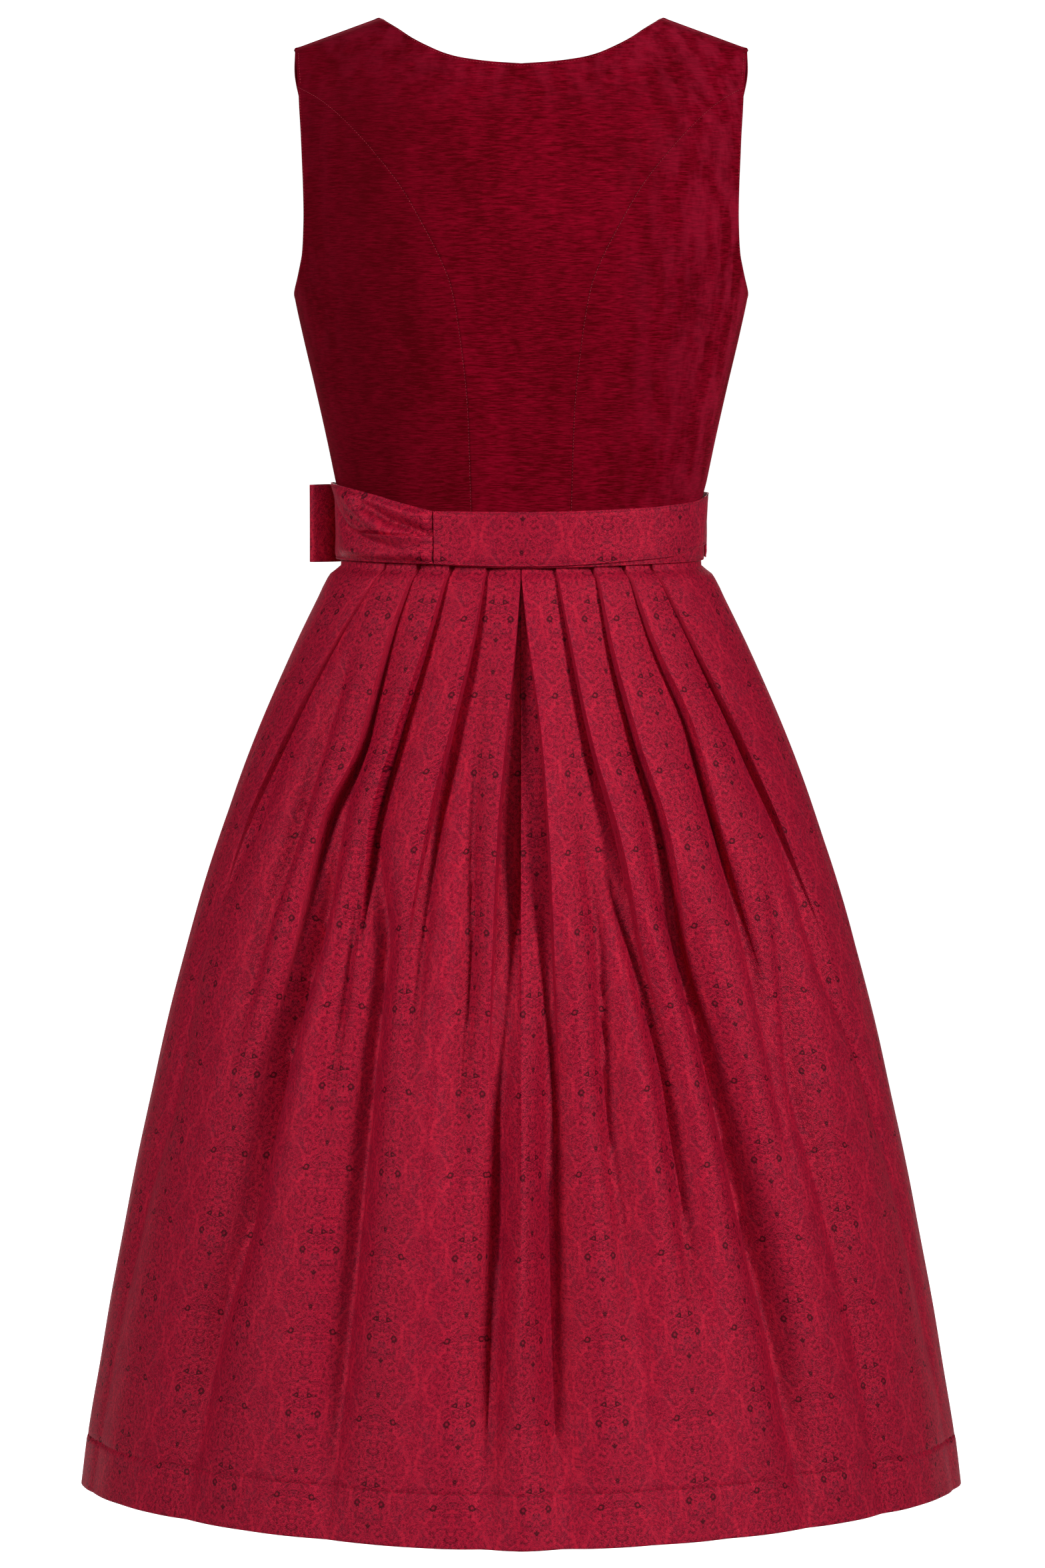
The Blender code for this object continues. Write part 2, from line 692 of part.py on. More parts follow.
def build_band(name, rows, steps, lift, trim=(0.0, 0.0)):
    """Strip round the waist between its table's first and last angle."""
    outer, inner = [], []
    start, end = rows[0].angle + trim[0], rows[-1].angle - trim[1]
    angles = [mix(start, end, c / steps) for c in range(steps + 1)]
    for level in (0.0, 1.0):
        near, far = [], []
        for degrees in angles:
            z = mix(band_edge(rows, "bottom", degrees), band_edge(rows, "top", degrees), level)
            height = lift(degrees)
            near.append(waist_point(math.radians(degrees), z, height))
            far.append(waist_point(math.radians(degrees), z, height + BAND_WALL))
        inner.append(near)
        outer.append(far)
    wall_between(name, outer, inner, "jacquard")


def waist_point(angle, z, lift):
    if z < WAIST_Z:
        return lifted_skirt(angle, z, lift)
    flat = body_normal(angle, z)
    flat.z = 0
    return body_point(angle, z) + flat.normalized() * lift


def front_rise(low, high):
    """Lift that grows from the side seams to the middle of the front."""
    def lift(degrees):
        away = min(abs(degrees - 90), abs(degrees - 270))
        return mix(low, high, smooth_step((away - RISE_START) / RISE_SPAN))
    return lift


def build_sash():
    ends = (BAND_END_GAP, BAND_END_GAP)
    front = front_rise(UNDER_BAND_LIFT, FRONT_BAND_LIFT)
    tie = front_rise(OUTER_BAND_LIFT, FRONT_TIE_LIFT)
    build_band("under_band", UNDER_BAND, UNDER_BAND_STEPS, lambda degrees: UNDER_BAND_LIFT)
    build_band("outer_band", OUTER_BAND, OUTER_BAND_STEPS, lambda degrees: OUTER_BAND_LIFT, ends)
    build_band("left_tie", LEFT_TIE, LEFT_TIE_STEPS,
               lambda degrees: OUTER_BAND_LIFT if degrees < 90 else tie(degrees), ends)
    build_band("apron_band", APRON_BAND, APRON_BAND_STEPS, front, ends)
    build_band("right_tie", RIGHT_TIE, RIGHT_TIE_STEPS, tie, ends)


def build_knot():
    """Soft block that wraps the middle of the bow."""
    angle = math.radians(KNOT_ANGLE)
    lift = FRONT_TIE_LIFT + BAND_WALL + 2 * SEAM_GAP
    held = LEFT_TIE[-1]
    base = waist_point(angle, held.top * MM, lift).lerp(waist_point(angle, held.bottom * MM, lift), 0.5)
    outward = skirt_frame(angle, WAIST_Z)[1]
    along = Vector((outward.y, -outward.x, 0))
    middle = base + outward * KNOT_DEPTH / 2
    rings = []
    for r in range(KNOT_RINGS + 1):
        tilt = KNOT_TILT * (2 * r / KNOT_RINGS - 1)
        flat = math.cos(tilt) ** KNOT_TAPER
        rise = Vector((0, 0, KNOT_HEIGHT / 2 * signed_power(math.sin(tilt), KNOT_DROP)))
        line = []
        for c in range(KNOT_AROUND):
            turn = 2 * math.pi * c / KNOT_AROUND
            wide = KNOT_WIDTH / 2 * flat * signed_power(math.cos(turn), KNOT_CORNER)
            deep = KNOT_DEPTH / 2 * flat * signed_power(math.sin(turn), KNOT_CORNER)
            line.append(middle + rise + along * wide + outward * deep)
        rings.append(line)
    capped_rings("bow_knot", rings, "jacquard")
    return middle, along * (KNOT_WIDTH / 2 + SEAM_GAP)


def capped_rings(name, rings, finish):
    count = len(rings[0])
    verts = [p for ring in rings for p in ring]
    faces = [(r * count + c, r * count + (c + 1) % count,
              (r + 1) * count + (c + 1) % count, (r + 1) * count + c)
             for r in range(len(rings) - 1) for c in range(count)]
    faces.append(tuple(reversed(range(count))))
    faces.append(tuple((len(rings) - 1) * count + c for c in range(count)))
    return add_object(name, verts, faces, finish)


def build_loop(name, start, end):
    """Flat tube of cloth: a strip bent back on itself, pinched where the knot holds it."""
    along = (end - start).normalized()
    across = Vector((-along.y, along.x, 0))
    length = (end - start).length
    blunt = 0.5 - 0.5 * math.cos(0.5 * math.pi / LOOP_STEPS)
    outer, inner = [], []
    for level in (0.0, 0.5, 1.0):
        far, near = [], []
        for wall, line in ((0.0, far), (BAND_WALL, near)):
            for c in range(2 * LOOP_STEPS):
                turn = math.pi * (c + 0.5) / LOOP_STEPS
                share = (0.5 - 0.5 * math.cos(turn) - blunt) / (1 - 2 * blunt)
                share = min(max(share, 0.0), 1.0)
                swell = math.sin(math.pi * share ** 0.8) ** 0.5 if share < 1 else 0.0
                half = mix(LOOP_NECK_THICKNESS, LOOP_THICKNESS, swell) / 2 - wall
                flare = smooth_step(share * LOOP_FLARE)
                bottom = mix(LOOP_NECK_BOTTOM, LOOP_BOTTOM, flare)
                top = mix(LOOP_NECK_TOP, LOOP_TOP, flare)
                run = mix(wall, length - wall, share)
                side = min(1.0, abs(math.sin(turn)) ** 0.5 * LOOP_CORNER)
                line.append(start + along * run
                            + across * half * math.copysign(side, math.sin(turn))
                            + Vector((0, 0, mix(bottom, top, level))))
        outer.append(far)
        inner.append(near)
    wall_between(name, outer, inner, "jacquard", closed=True)


def build_tail(name, tail):
    """Loose end of the sash: out of the knot, then over the apron to a slanted cut."""
    outer, inner = [], []
    for r in range(TAIL_ROWS + 1):
        drop = r / TAIL_ROWS
        fallen = smooth_step(drop * TAIL_FALL)
        near, far = [], []
        for c in range(TAIL_COLUMNS + 1):
            across = c / TAIL_COLUMNS - 0.5
            z = mix(TAIL_TOP_Z, (tail.end + tail.cut * across) * MM, drop)
            width = mix(TAIL_TOP_WIDTH, tail.width, fallen) * MM
            angle = math.radians(mix(KNOT_ANGLE, tail.angle + tail.lean * drop, fallen))
            place = angle + across * width / skirt_frame(angle, z)[2]
            resting = tail.rest_lift * MM + by_height(APRON_WAVES, z) * MM
            ripple = TAIL_RIPPLE * math.sin(across * 7 + drop * 5)
            height = mix(tail.knot_lift * MM, resting + ripple, fallen)
            near.append(lifted_skirt(place, z, height))
            far.append(lifted_skirt(place, z, height + BAND_WALL))
        inner.append(near)
        outer.append(far)
    wall_between(name, outer, inner, "jacquard")


def build_bow():
    middle, reach = build_knot()
    flat = Vector((middle.x, middle.y, 0))
    build_loop("bow_loop_side", flat - reach, SIDE_LOOP_END)
    build_loop("bow_loop_front", flat + reach, FRONT_LOOP_END)
    for name, tail in TAILS:
        build_tail(name, tail)


def centre_crossing(line):
    """Where a row of panel points meets the centre line."""
    for a, b in zip(line, line[1:]):
        if a.x * b.x <= 0 and a.x != b.x:
            return a.lerp(b, a.x / (a.x - b.x))
    return min(line, key=lambda p: abs(p.x))


def build_buttons(panel):
    """Domed buttons, each seated on the middle of one row of the panel's points."""
    rows = [centre_crossing(line) for line in panel]
    for number in range(BUTTON_COUNT):
        high = rows[-1 - number]
        low = rows[-2 - number]
        up = (high - low).normalized()
        across = Vector((1, 0, 0))
        outward = across.cross(up).normalized()
        base = (high + low) / 2 + outward * SEAM_GAP
        rings = []
        for r in range(BUTTON_RINGS + 1):
            tilt = BUTTON_CROWN * r / BUTTON_RINGS
            radius = BUTTON_RADIUS * math.cos(tilt)
            height = BUTTON_DOME * math.sin(tilt) + (BUTTON_RIM if r else 0)
            ring = []
            for c in range(BUTTON_AROUND):
                turn = 2 * math.pi * c / BUTTON_AROUND
                around = across * math.cos(turn) + up * math.sin(turn)
                ring.append(base + outward * height + around * radius)
            rings.append(ring)
        capped_rings("button_%d" % (number + 1), rings, "metal")


clear_scene()
build_back()
lap_rows = build_front()
build_skirt()
build_apron()
build_sash()
build_bow()
build_buttons(lap_rows)
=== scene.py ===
import math

import bpy
import numpy as np
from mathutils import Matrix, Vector


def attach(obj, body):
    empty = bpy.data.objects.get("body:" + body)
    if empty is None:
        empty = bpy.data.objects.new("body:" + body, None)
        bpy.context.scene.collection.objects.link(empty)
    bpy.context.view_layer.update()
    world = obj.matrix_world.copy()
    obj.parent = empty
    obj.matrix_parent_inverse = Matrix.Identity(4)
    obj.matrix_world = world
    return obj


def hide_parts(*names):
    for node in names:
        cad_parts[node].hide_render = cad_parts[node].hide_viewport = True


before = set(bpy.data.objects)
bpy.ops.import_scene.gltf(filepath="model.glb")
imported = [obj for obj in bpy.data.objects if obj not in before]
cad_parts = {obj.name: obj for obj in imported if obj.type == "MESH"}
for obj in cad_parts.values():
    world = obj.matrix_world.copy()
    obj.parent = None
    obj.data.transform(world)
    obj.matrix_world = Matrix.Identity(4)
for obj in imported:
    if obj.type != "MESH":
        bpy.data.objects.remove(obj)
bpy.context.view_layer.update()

# Setting: a pale floor that curves up behind the dress, seen by a long lens from the back of
# the dress, a little above the middle of the bodice and looking down by four degrees.
sensor_tall, view_degrees = 24.0, 13.65


def look_at(item, target):
    item.rotation_euler = (Vector(target) - item.location).to_track_quat("-Z", "Y").to_euler()


def new_object(name, data):
    item = bpy.data.objects.new(name, data)
    bpy.context.scene.collection.objects.link(item)
    return item


def new_material(name, **values):
    """Material with its node tree and its main shader, whose inputs are given by name."""
    material = bpy.data.materials.new(name)
    material.use_nodes = True
    shader = material.node_tree.nodes["Principled BSDF"]
    for key, value in values.items():
        shader.inputs[key.replace("_", " ")].default_value = value
    return material, material.node_tree, shader


def link(tree, start, end):
    tree.links.new(start, end)


def fill(tree, socket, value):
    """Sets an input to a value, or links it where the value is an output."""
    if hasattr(value, "links"):
        link(tree, value, socket)
    else:
        socket.default_value = value


def add(tree, kind, **values):
    """Shader node with its properties, and its inputs by name, set in one line."""
    node = tree.nodes.new(kind)
    for key, value in values.items():
        if hasattr(node, key) and key not in node.inputs:
            setattr(node, key, value)
        else:
            fill(tree, node.inputs[key.replace("_", " ")], value)
    return node


def calc(tree, operation, *values):
    node = add(tree, "ShaderNodeMath", operation=operation)
    for socket, value in zip(node.inputs, values):
        fill(tree, socket, value)
    return node.outputs[0]


def band(tree, value, low, high, start=0.0, end=1.0, kind="SMOOTHSTEP"):
    """Step of a value from start at low to end at high."""
    return add(tree, "ShaderNodeMapRange", interpolation_type=kind, Value=value, From_Min=low,
               From_Max=high, To_Min=start, To_Max=end).outputs["Result"]


camera_data = bpy.data.cameras.new("camera")
camera_data.sensor_fit = "VERTICAL"
camera_data.sensor_height = sensor_tall
camera_data.lens = sensor_tall / 2 / math.tan(math.radians(view_degrees) / 2)
camera = new_object("camera", camera_data)
camera.location = (-0.001, 4.8, -0.20)
look_at(camera, (-0.001, 0, -0.5517))
bpy.context.scene.camera = camera

# The wearer holds the dress up, so the floor is well below the hem
sweep_reach, floor_level, bend_start, bend_radius = 8.0, -1.50, -5.5, 2.5
sweep = [(sweep_reach, floor_level), (bend_start, floor_level)]
sweep += [(bend_start - bend_radius * math.sin(t),
           floor_level + bend_radius - bend_radius * math.cos(t))
          for t in np.linspace(0.1, math.pi / 2, 14)]
sweep.append((-sweep_reach, sweep_reach))
sweep_mesh = bpy.data.meshes.new("backdrop")
sweep_mesh.from_pydata([(x, y, z) for y, z in sweep for x in (-sweep_reach, sweep_reach)], [],
                       [(2 * i, 2 * i + 1, 2 * i + 3, 2 * i + 2) for i in range(len(sweep) - 1)])
sweep_mesh.shade_smooth()
backdrop = new_object("backdrop", sweep_mesh)
paper, tree, shader = new_material("backdrop_paper", Base_Color=(0.62, 0.62, 0.62, 1),
                                   Roughness=1.0, Specular_IOR_Level=0.0,
                                   Emission_Color=(1, 1, 1, 1))
# The part behind the dress glows, as a backdrop with its own lamps does
place = add(tree, "ShaderNodeTexCoord").outputs["Object"]
place = add(tree, "ShaderNodeSeparateXYZ", Vector=place).outputs
behind = band(tree, place["Y"], -2.2, -0.4, 1.0, 0.0)
middle = band(tree, calc(tree, "ABSOLUTE", place["X"]), 1.3, 2.6, 1.0, 0.0)
link(tree, calc(tree, "MULTIPLY", middle, behind), shader.inputs["Emission Strength"])
sweep_mesh.materials.append(paper)

world = bpy.data.worlds.new("studio")
bpy.context.scene.world = world
world.use_nodes = True
surround = world.node_tree.nodes["Background"].inputs
surround["Color"].default_value, surround["Strength"].default_value = (1, 1, 1, 1), 0.03
bpy.context.scene.view_settings.view_transform = "Standard"
bpy.context.scene.view_settings.look = "None"


def soft_box(name, place, target, size, power, spread=180):
    lamp = bpy.data.lights.new(name, "AREA")
    lamp.shape = "RECTANGLE"
    lamp.spread = math.radians(spread)
    lamp.size, lamp.size_y = size
    lamp.energy = power
    item = new_object(name, lamp)
    item.location = place
    look_at(item, target)


soft_box("key_light", (-0.5, 4.4, 1.3), (0, 0, -0.5), (1.5, 1.3), 16)
soft_box("left_light", (3.35, 2.5, 1.15), (-0.1, 0, -0.30), (0.9, 1.7), 19, spread=75)
soft_box("right_light", (-3.35, 2.5, 1.15), (0.1, 0, -0.30), (0.9, 1.7), 24, spread=75)
soft_box("front_light", (0.4, -4.2, 1.2), (0, 0, -0.55), (1.8, 1.6), 60)

# Bodice: seven panels of cotton velvet, cut to shape and joined by princess, side and shoulder
# seams. The seams are pressed flat, so each shows as a narrow groove between two rolls.
# Neck and armholes are faced, turned and understitched.
mm = 0.001
bodice_wall, seam_gap = 1.6 * mm, 0.3 * mm
bodice_foot, underarm = -371.7 * mm, -192 * mm
# Tables of the figure's form by level: half width, depth to the back, depth to the front and
# the power that rounds each level section
body_levels = (-392, -372, -345, -328, -299, -260, -221, -192, -150, -110, -70, -30, 10)
body_tables = [list(zip(body_levels, values)) for values in (
    (132.0, 132.0, 132.6, 136.2, 142.2, 150.9, 160.0, 166.0, 171.5, 175.0, 177.0, 178.0, 178.0),
    (92.2, 92.2, 92.8, 95, 99, 104, 107, 108, 107, 102, 90, 68, 52),
    (88.6, 88.6, 90.5, 95, 104, 120, 132, 134, 125, 108, 88, 64, 46),
    (2.10, 2.10, 2.12, 2.16, 2.20, 2.24, 2.26, 2.26, 2.26, 2.24, 2.22, 2.20, 2.20))]


def curve(rows, at):
    """Smooth line through (knot, value) rows that never overshoots them."""
    knots, values = np.array(sorted(rows), float).T
    rise = np.diff(values) / np.diff(knots)
    slope = np.concatenate([rise[:1], np.zeros(len(rise) - 1), rise[-1:]])
    same = rise[1:] * rise[:-1] > 0
    slope[1:-1][same] = (2 * rise[1:] * rise[:-1])[same] / (rise[1:] + rise[:-1])[same]
    at = np.clip(at, knots[0], knots[-1])
    i = np.clip(np.searchsorted(knots, at, side="right") - 1, 0, len(rise) - 1)
    span = knots[i + 1] - knots[i]
    t = (at - knots[i]) / span
    return ((1 + 2 * t) * (1 - t) ** 2 * values[i] + t * (1 - t) ** 2 * span * slope[i]
            + t * t * (3 - 2 * t) * values[i + 1] + t * t * (t - 1) * span * slope[i + 1])


def signed_power(value, power):
    return np.sign(value) * np.abs(value) ** power


def ramp(t):
    t = np.clip(t, 0, 1)
    return t * t * (3 - 2 * t)


def shoulder_height(x):
    return 8.5 * mm - 0.366 * (np.abs(x) - 103 * mm)


def rounded(tables, angle, z):
    """Points of a form. The angle runs from the centre back to the wearer's left side."""
    half, back, front, power = (curve(rows, z / mm) for rows in tables)
    depth = np.where(np.cos(angle) >= 0, back, front) * mm
    return np.stack([half * mm * signed_power(np.sin(angle), 2 / power),
                     depth * signed_power(np.cos(angle), 2 / power), z], axis=-1)


def body(angle, z):
    points = rounded(body_tables, angle, z)
    below = np.clip((shoulder_height(points[..., 0]) - z) / (75 * mm), 0, 1)
    points[..., 1] *= np.sqrt(1 - (1 - below) ** 2)
    return points


def body_angle(x, z, back):
    share = np.clip(x / (curve(body_tables[0], z / mm) * mm), -1, 1)
    angle = np.arcsin(signed_power(share, curve(body_tables[3], z / mm) / 2))
    return angle if back else np.pi - angle


def line_length(points):
    steps = np.linalg.norm(np.diff(points, axis=0), axis=-1)
    return np.concatenate([np.zeros((1,) + steps.shape[1:]), np.cumsum(steps, axis=0)])


def shares_along(points):
    run = line_length(points)
    return run / run[-1]


def resampled(points, shares):
    """Places at shares of the way along a line of points, with the smooth curve above."""
    run = shares_along(points)
    return np.stack([curve(list(zip(run, points[:, k])), shares) for k in range(points.shape[1])],
                    axis=-1)


def crowded(length, step, rim=(0.0, 0.25, 0.6, 1.0, 1.6, 2.6)):
    """Shares along an edge: close together over the rolled rims, even between them."""
    rim = np.array(rim) * mm / length
    inner = np.linspace(rim[-1], 1 - rim[-1], max(int((length - 2 * rim[-1] * length) / step), 2))
    return np.concatenate([rim[:-1], inner, 1 - rim[:-1][::-1]])


def patch(bottom, top, left, right):
    """Grid of places between four edges that share their corners."""
    u, v = shares_along(bottom), shares_along(left)
    v, u = v[:, None, None], u[None, :, None]
    edges = (1 - v) * bottom[None] + v * top[None] + (1 - u) * left[:, None] + u * right[:, None]
    corners = ((1 - v) * ((1 - u) * bottom[0] + u * bottom[-1])
               + v * ((1 - u) * top[0] + u * top[-1]))
    return edges - corners


def normals(grid):
    across = np.gradient(grid, axis=1)
    up = np.gradient(grid, axis=0)
    out = np.cross(across, up)
    return out / np.maximum(np.linalg.norm(out, axis=-1), 1e-12)[..., None]


def cloth_mesh(name, points, faces, flat):
    """Smooth object with the cut's flat sizes as its UV map."""
    mesh = bpy.data.meshes.new(name)
    mesh.from_pydata(points.tolist(), [], faces)
    corners = np.empty(len(mesh.loops), np.int32)
    mesh.loops.foreach_get("vertex_index", corners)
    layer = mesh.uv_layers.new(name="cut")
    layer.data.foreach_set("uv", flat[corners].astype(np.float32).ravel())
    mesh.shade_smooth()
    return new_object(name, mesh)


def shell(name, outer, inner, flat, closed=False):
    """Closed cloth wall from two grids of points."""
    rows, columns = outer.shape[:2]
    index = np.arange(rows * columns).reshape(rows, columns)
    if closed:
        index = np.concatenate([index, index[:, :1]], axis=1)
    far = index + rows * columns
    quads = [np.stack([index[:-1, :-1], index[:-1, 1:], index[1:, 1:], index[1:, :-1]], -1),
             np.stack([far[:-1, :-1], far[1:, :-1], far[1:, 1:], far[:-1, 1:]], -1)]
    rims = [(index[0, 1:], index[0, :-1], far[0, :-1], far[0, 1:]),
            (index[-1, :-1], index[-1, 1:], far[-1, 1:], far[-1, :-1])]
    if not closed:
        rims += [(index[:-1, 0], index[1:, 0], far[1:, 0], far[:-1, 0]),
                 (index[1:, -1], index[:-1, -1], far[:-1, -1], far[1:, -1])]
    faces = np.concatenate([q.reshape(-1, 4) for q in quads] + [np.stack(r, -1) for r in rims])
    points = np.concatenate([outer.reshape(-1, 3), inner.reshape(-1, 3)])
    # Faces that would all look inwards are turned about
    corner = points[faces]
    turned = np.cross(corner[:, 1] - corner[:, 0], corner[:, 2] - corner[:, 0])
    turned += np.cross(corner[:, 2] - corner[:, 0], corner[:, 3] - corner[:, 0])
    if np.sum(corner[:, 0] * turned) < 0:
        faces = faces[:, ::-1]
    flat = np.concatenate([flat.reshape(-1, 2)] * 2)
    item = cloth_mesh(name, points, faces.tolist(), flat)
    item.data.set_sharp_from_angle(angle=math.radians(60))
    return item


def dressed(item, material, node):
    """Gives a piece its cloth as a material slot and its body, and hides the solid it stands for.
    """
    item.data.materials.append(material)
    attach(item, "root")
    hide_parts(node)


def tint(tree, amount, below, above):
    """Mix of two colours by an amount."""
    node = add(tree, "ShaderNodeMix", data_type="RGBA", Factor=amount)
    fill(tree, node.inputs[6], below)
    fill(tree, node.inputs[7], above)
    return node.outputs[2]


# Velvet: a deep red pile with short level slubs, brighter where it is seen aslant
velvet, tree, pile = new_material("velvet", Roughness=0.9, Specular_IOR_Level=0.03,
                                  Sheen_Weight=0.26, Sheen_Roughness=0.30,
                                  Sheen_Tint=(0.95, 0.08, 0.15, 1))
place = add(tree, "ShaderNodeTexCoord").outputs["Object"]


def streaks(scale, detail, roughness):
    """Noise drawn out along the axes with the smaller scales."""
    space = add(tree, "ShaderNodeMapping", Vector=place, Scale=scale).outputs["Vector"]
    return add(tree, "ShaderNodeTexNoise", Vector=space, Scale=1.0, Detail=detail,
               Roughness=roughness).outputs["Fac"]


slubs, clouds = streaks((120, 120, 1000), 3.0, 0.6), streaks((34, 34, 13), 5.0, 0.62)
grain = add(tree, "ShaderNodeTexNoise", Vector=place, Scale=1500.0, Detail=2.0)
mixed = calc(tree, "MULTIPLY_ADD", clouds, 0.38, slubs)
shade = add(tree, "ShaderNodeValToRGB")
link(tree, mixed, shade.inputs["Fac"])
for stop, position, colour in zip(shade.color_ramp.elements, (0.56, 0.94), (
        (0.100, 0.0001, 0.0032, 1), (0.300, 0.0015, 0.0170, 1))):
    stop.position, stop.color = position, colour
# At the sides and shoulders, where light grazes the velvet, upright patches of nap are painted
# paler pink: painted sheen, strongest on the wearer's right, which takes more light
sides = add(tree, "ShaderNodeSeparateXYZ", Vector=place).outputs
amount = band(tree, sides["X"], -0.060, -0.150, 0, 0.42, "LINEAR")
for other in (band(tree, sides["X"], 0.110, 0.165, 0, 0.25, "LINEAR"),
              band(tree, sides["Z"], -0.070, -0.005, 0, 0.42, "LINEAR")):
    amount = calc(tree, "MAXIMUM", amount, other)
nap_and_sheen_patches = band(tree, streaks((75, 75, 26), 4.0, 0.6), 0.42, 0.62, kind="LINEAR")
# The pale pink mixed in here is painted sheen over the nap's patches
colour = tint(tree, calc(tree, "MULTIPLY", amount, nap_and_sheen_patches), shade.outputs["Color"],
              (0.44, 0.012, 0.046, 1))
# On the wearer's left the velvet is painted darker: painted shade on the side that takes less light
colour = tint(tree, band(tree, sides["X"], 0.02, 0.11, 0, 0.5, "LINEAR"), colour,
              (0.085, 0.0004, 0.0040, 1))
link(tree, colour, pile.inputs["Base Color"])
nap = add(tree, "ShaderNodeBump", Strength=0.30, Distance=0.0006, Height=mixed)
fuzz = add(tree, "ShaderNodeBump", Strength=0.25, Distance=0.0003, Height=grain.outputs["Fac"],
           Normal=nap.outputs["Normal"])
link(tree, fuzz.outputs["Normal"], pile.inputs["Normal"])
# Thread of the bodice, a little brighter than the velvet; along the seams its lighter stitches are
# partly a painted highlight on each seam's ridge
velvet_thread = new_material("velvet_thread", Base_Color=(0.42, 0.010, 0.032, 1),
                             Roughness=0.7)[0]

# Stitches along lines: a short rounded stitch on points at an even distance, each turned
# along its line and a little uneven in length
stitch_run = bpy.data.node_groups.new("stitch_run", "GeometryNodeTree")
for label, kind in (("Lines", "Geometry"), ("Pitch", "Float"), ("Length", "Float"),
                    ("Thickness", "Float"), ("Seed", "Int"), ("Thread", "Material")):
    stitch_run.interface.new_socket(name=label, in_out="INPUT", socket_type="NodeSocket" + kind)
stitch_run.interface.new_socket(name="Stitches", in_out="OUTPUT",
                                socket_type="NodeSocketGeometry")
given = add(stitch_run, "NodeGroupInput").outputs
line = add(stitch_run, "GeometryNodeMeshToCurve", Mesh=given["Lines"])
spaced = add(stitch_run, "GeometryNodeResampleCurve", Curve=line.outputs[0])
spaced.mode = "LENGTH"
link(stitch_run, given["Pitch"], spaced.inputs["Length"])
ball = add(stitch_run, "GeometryNodeMeshIcoSphere", Radius=0.5, Subdivisions=1)
size = add(stitch_run, "ShaderNodeCombineXYZ", X=given["Length"], Y=given["Thickness"],
           Z=given["Thickness"])
stitch = add(stitch_run, "GeometryNodeTransform", Geometry=ball.outputs["Mesh"],
             Scale=size.outputs["Vector"])
along_line = add(stitch_run, "FunctionNodeAlignRotationToVector",
                 Vector=add(stitch_run, "GeometryNodeInputTangent").outputs["Tangent"])
along_line.axis = "X"
uneven = add(stitch_run, "FunctionNodeRandomValue", data_type="FLOAT")
uneven.inputs[2].default_value, uneven.inputs[3].default_value = 0.85, 1.1
link(stitch_run, given["Seed"], uneven.inputs["Seed"])
placed = add(stitch_run, "GeometryNodeInstanceOnPoints", Points=spaced.outputs[0],
             Instance=stitch.outputs[0], Rotation=along_line.outputs["Rotation"],
             Scale=uneven.outputs[1])
real = add(stitch_run, "GeometryNodeRealizeInstances", Geometry=placed.outputs[0])
painted = add(stitch_run, "GeometryNodeSetMaterial", Geometry=real.outputs[0],
              Material=given["Thread"])
link(stitch_run, painted.outputs[0], add(stitch_run, "NodeGroupOutput").inputs["Stitches"])


def stitches(name, lines, pitch, length, thickness, thread):
    """Mesh of the stitches along lines of points."""
    points, edges = [], []
    for line in lines:
        edges += [(k, k + 1) for k in range(len(points), len(points) + len(line) - 1)]
        points += line.tolist()
    mesh = bpy.data.meshes.new(name)
    mesh.from_pydata(points, edges, [])
    item = new_object(name, mesh)
    modifier = item.modifiers.new("stitches", "NODES")
    modifier.node_group = stitch_run
    values = {"Pitch": pitch, "Length": length, "Thickness": thickness, "Seed": 7, "Thread": thread}
    for socket in stitch_run.interface.items_tree:
        if socket.in_out == "INPUT" and socket.name in values:
            modifier[socket.identifier] = values[socket.name]
    graph = bpy.context.evaluated_depsgraph_get()
    made = bpy.data.meshes.new_from_object(item.evaluated_get(graph), depsgraph=graph)
    item.modifiers.clear()
    item.data = made
    made.shade_smooth()
    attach(item, "root")
    return item


def mirrored(line):
    return line * np.array([-1, 1])


def bell(gap, width):
    return np.exp(-(gap / width) ** 2)


def edge_roll(distance, width, drop):
    """How far the face falls where the cloth turns in towards an edge."""
    t = np.clip(1 - distance / width, 0, 1)
    return drop * (1 - np.sqrt(1 - t * t))


def at_distance(grid, away, distance=2.6 * mm):
    """Points at a distance from the first row of a grid."""
    return np.array([[np.interp(distance, away[:, k], grid[:, k, i]) for i in range(3)]
                     for k in range(grid.shape[1])])


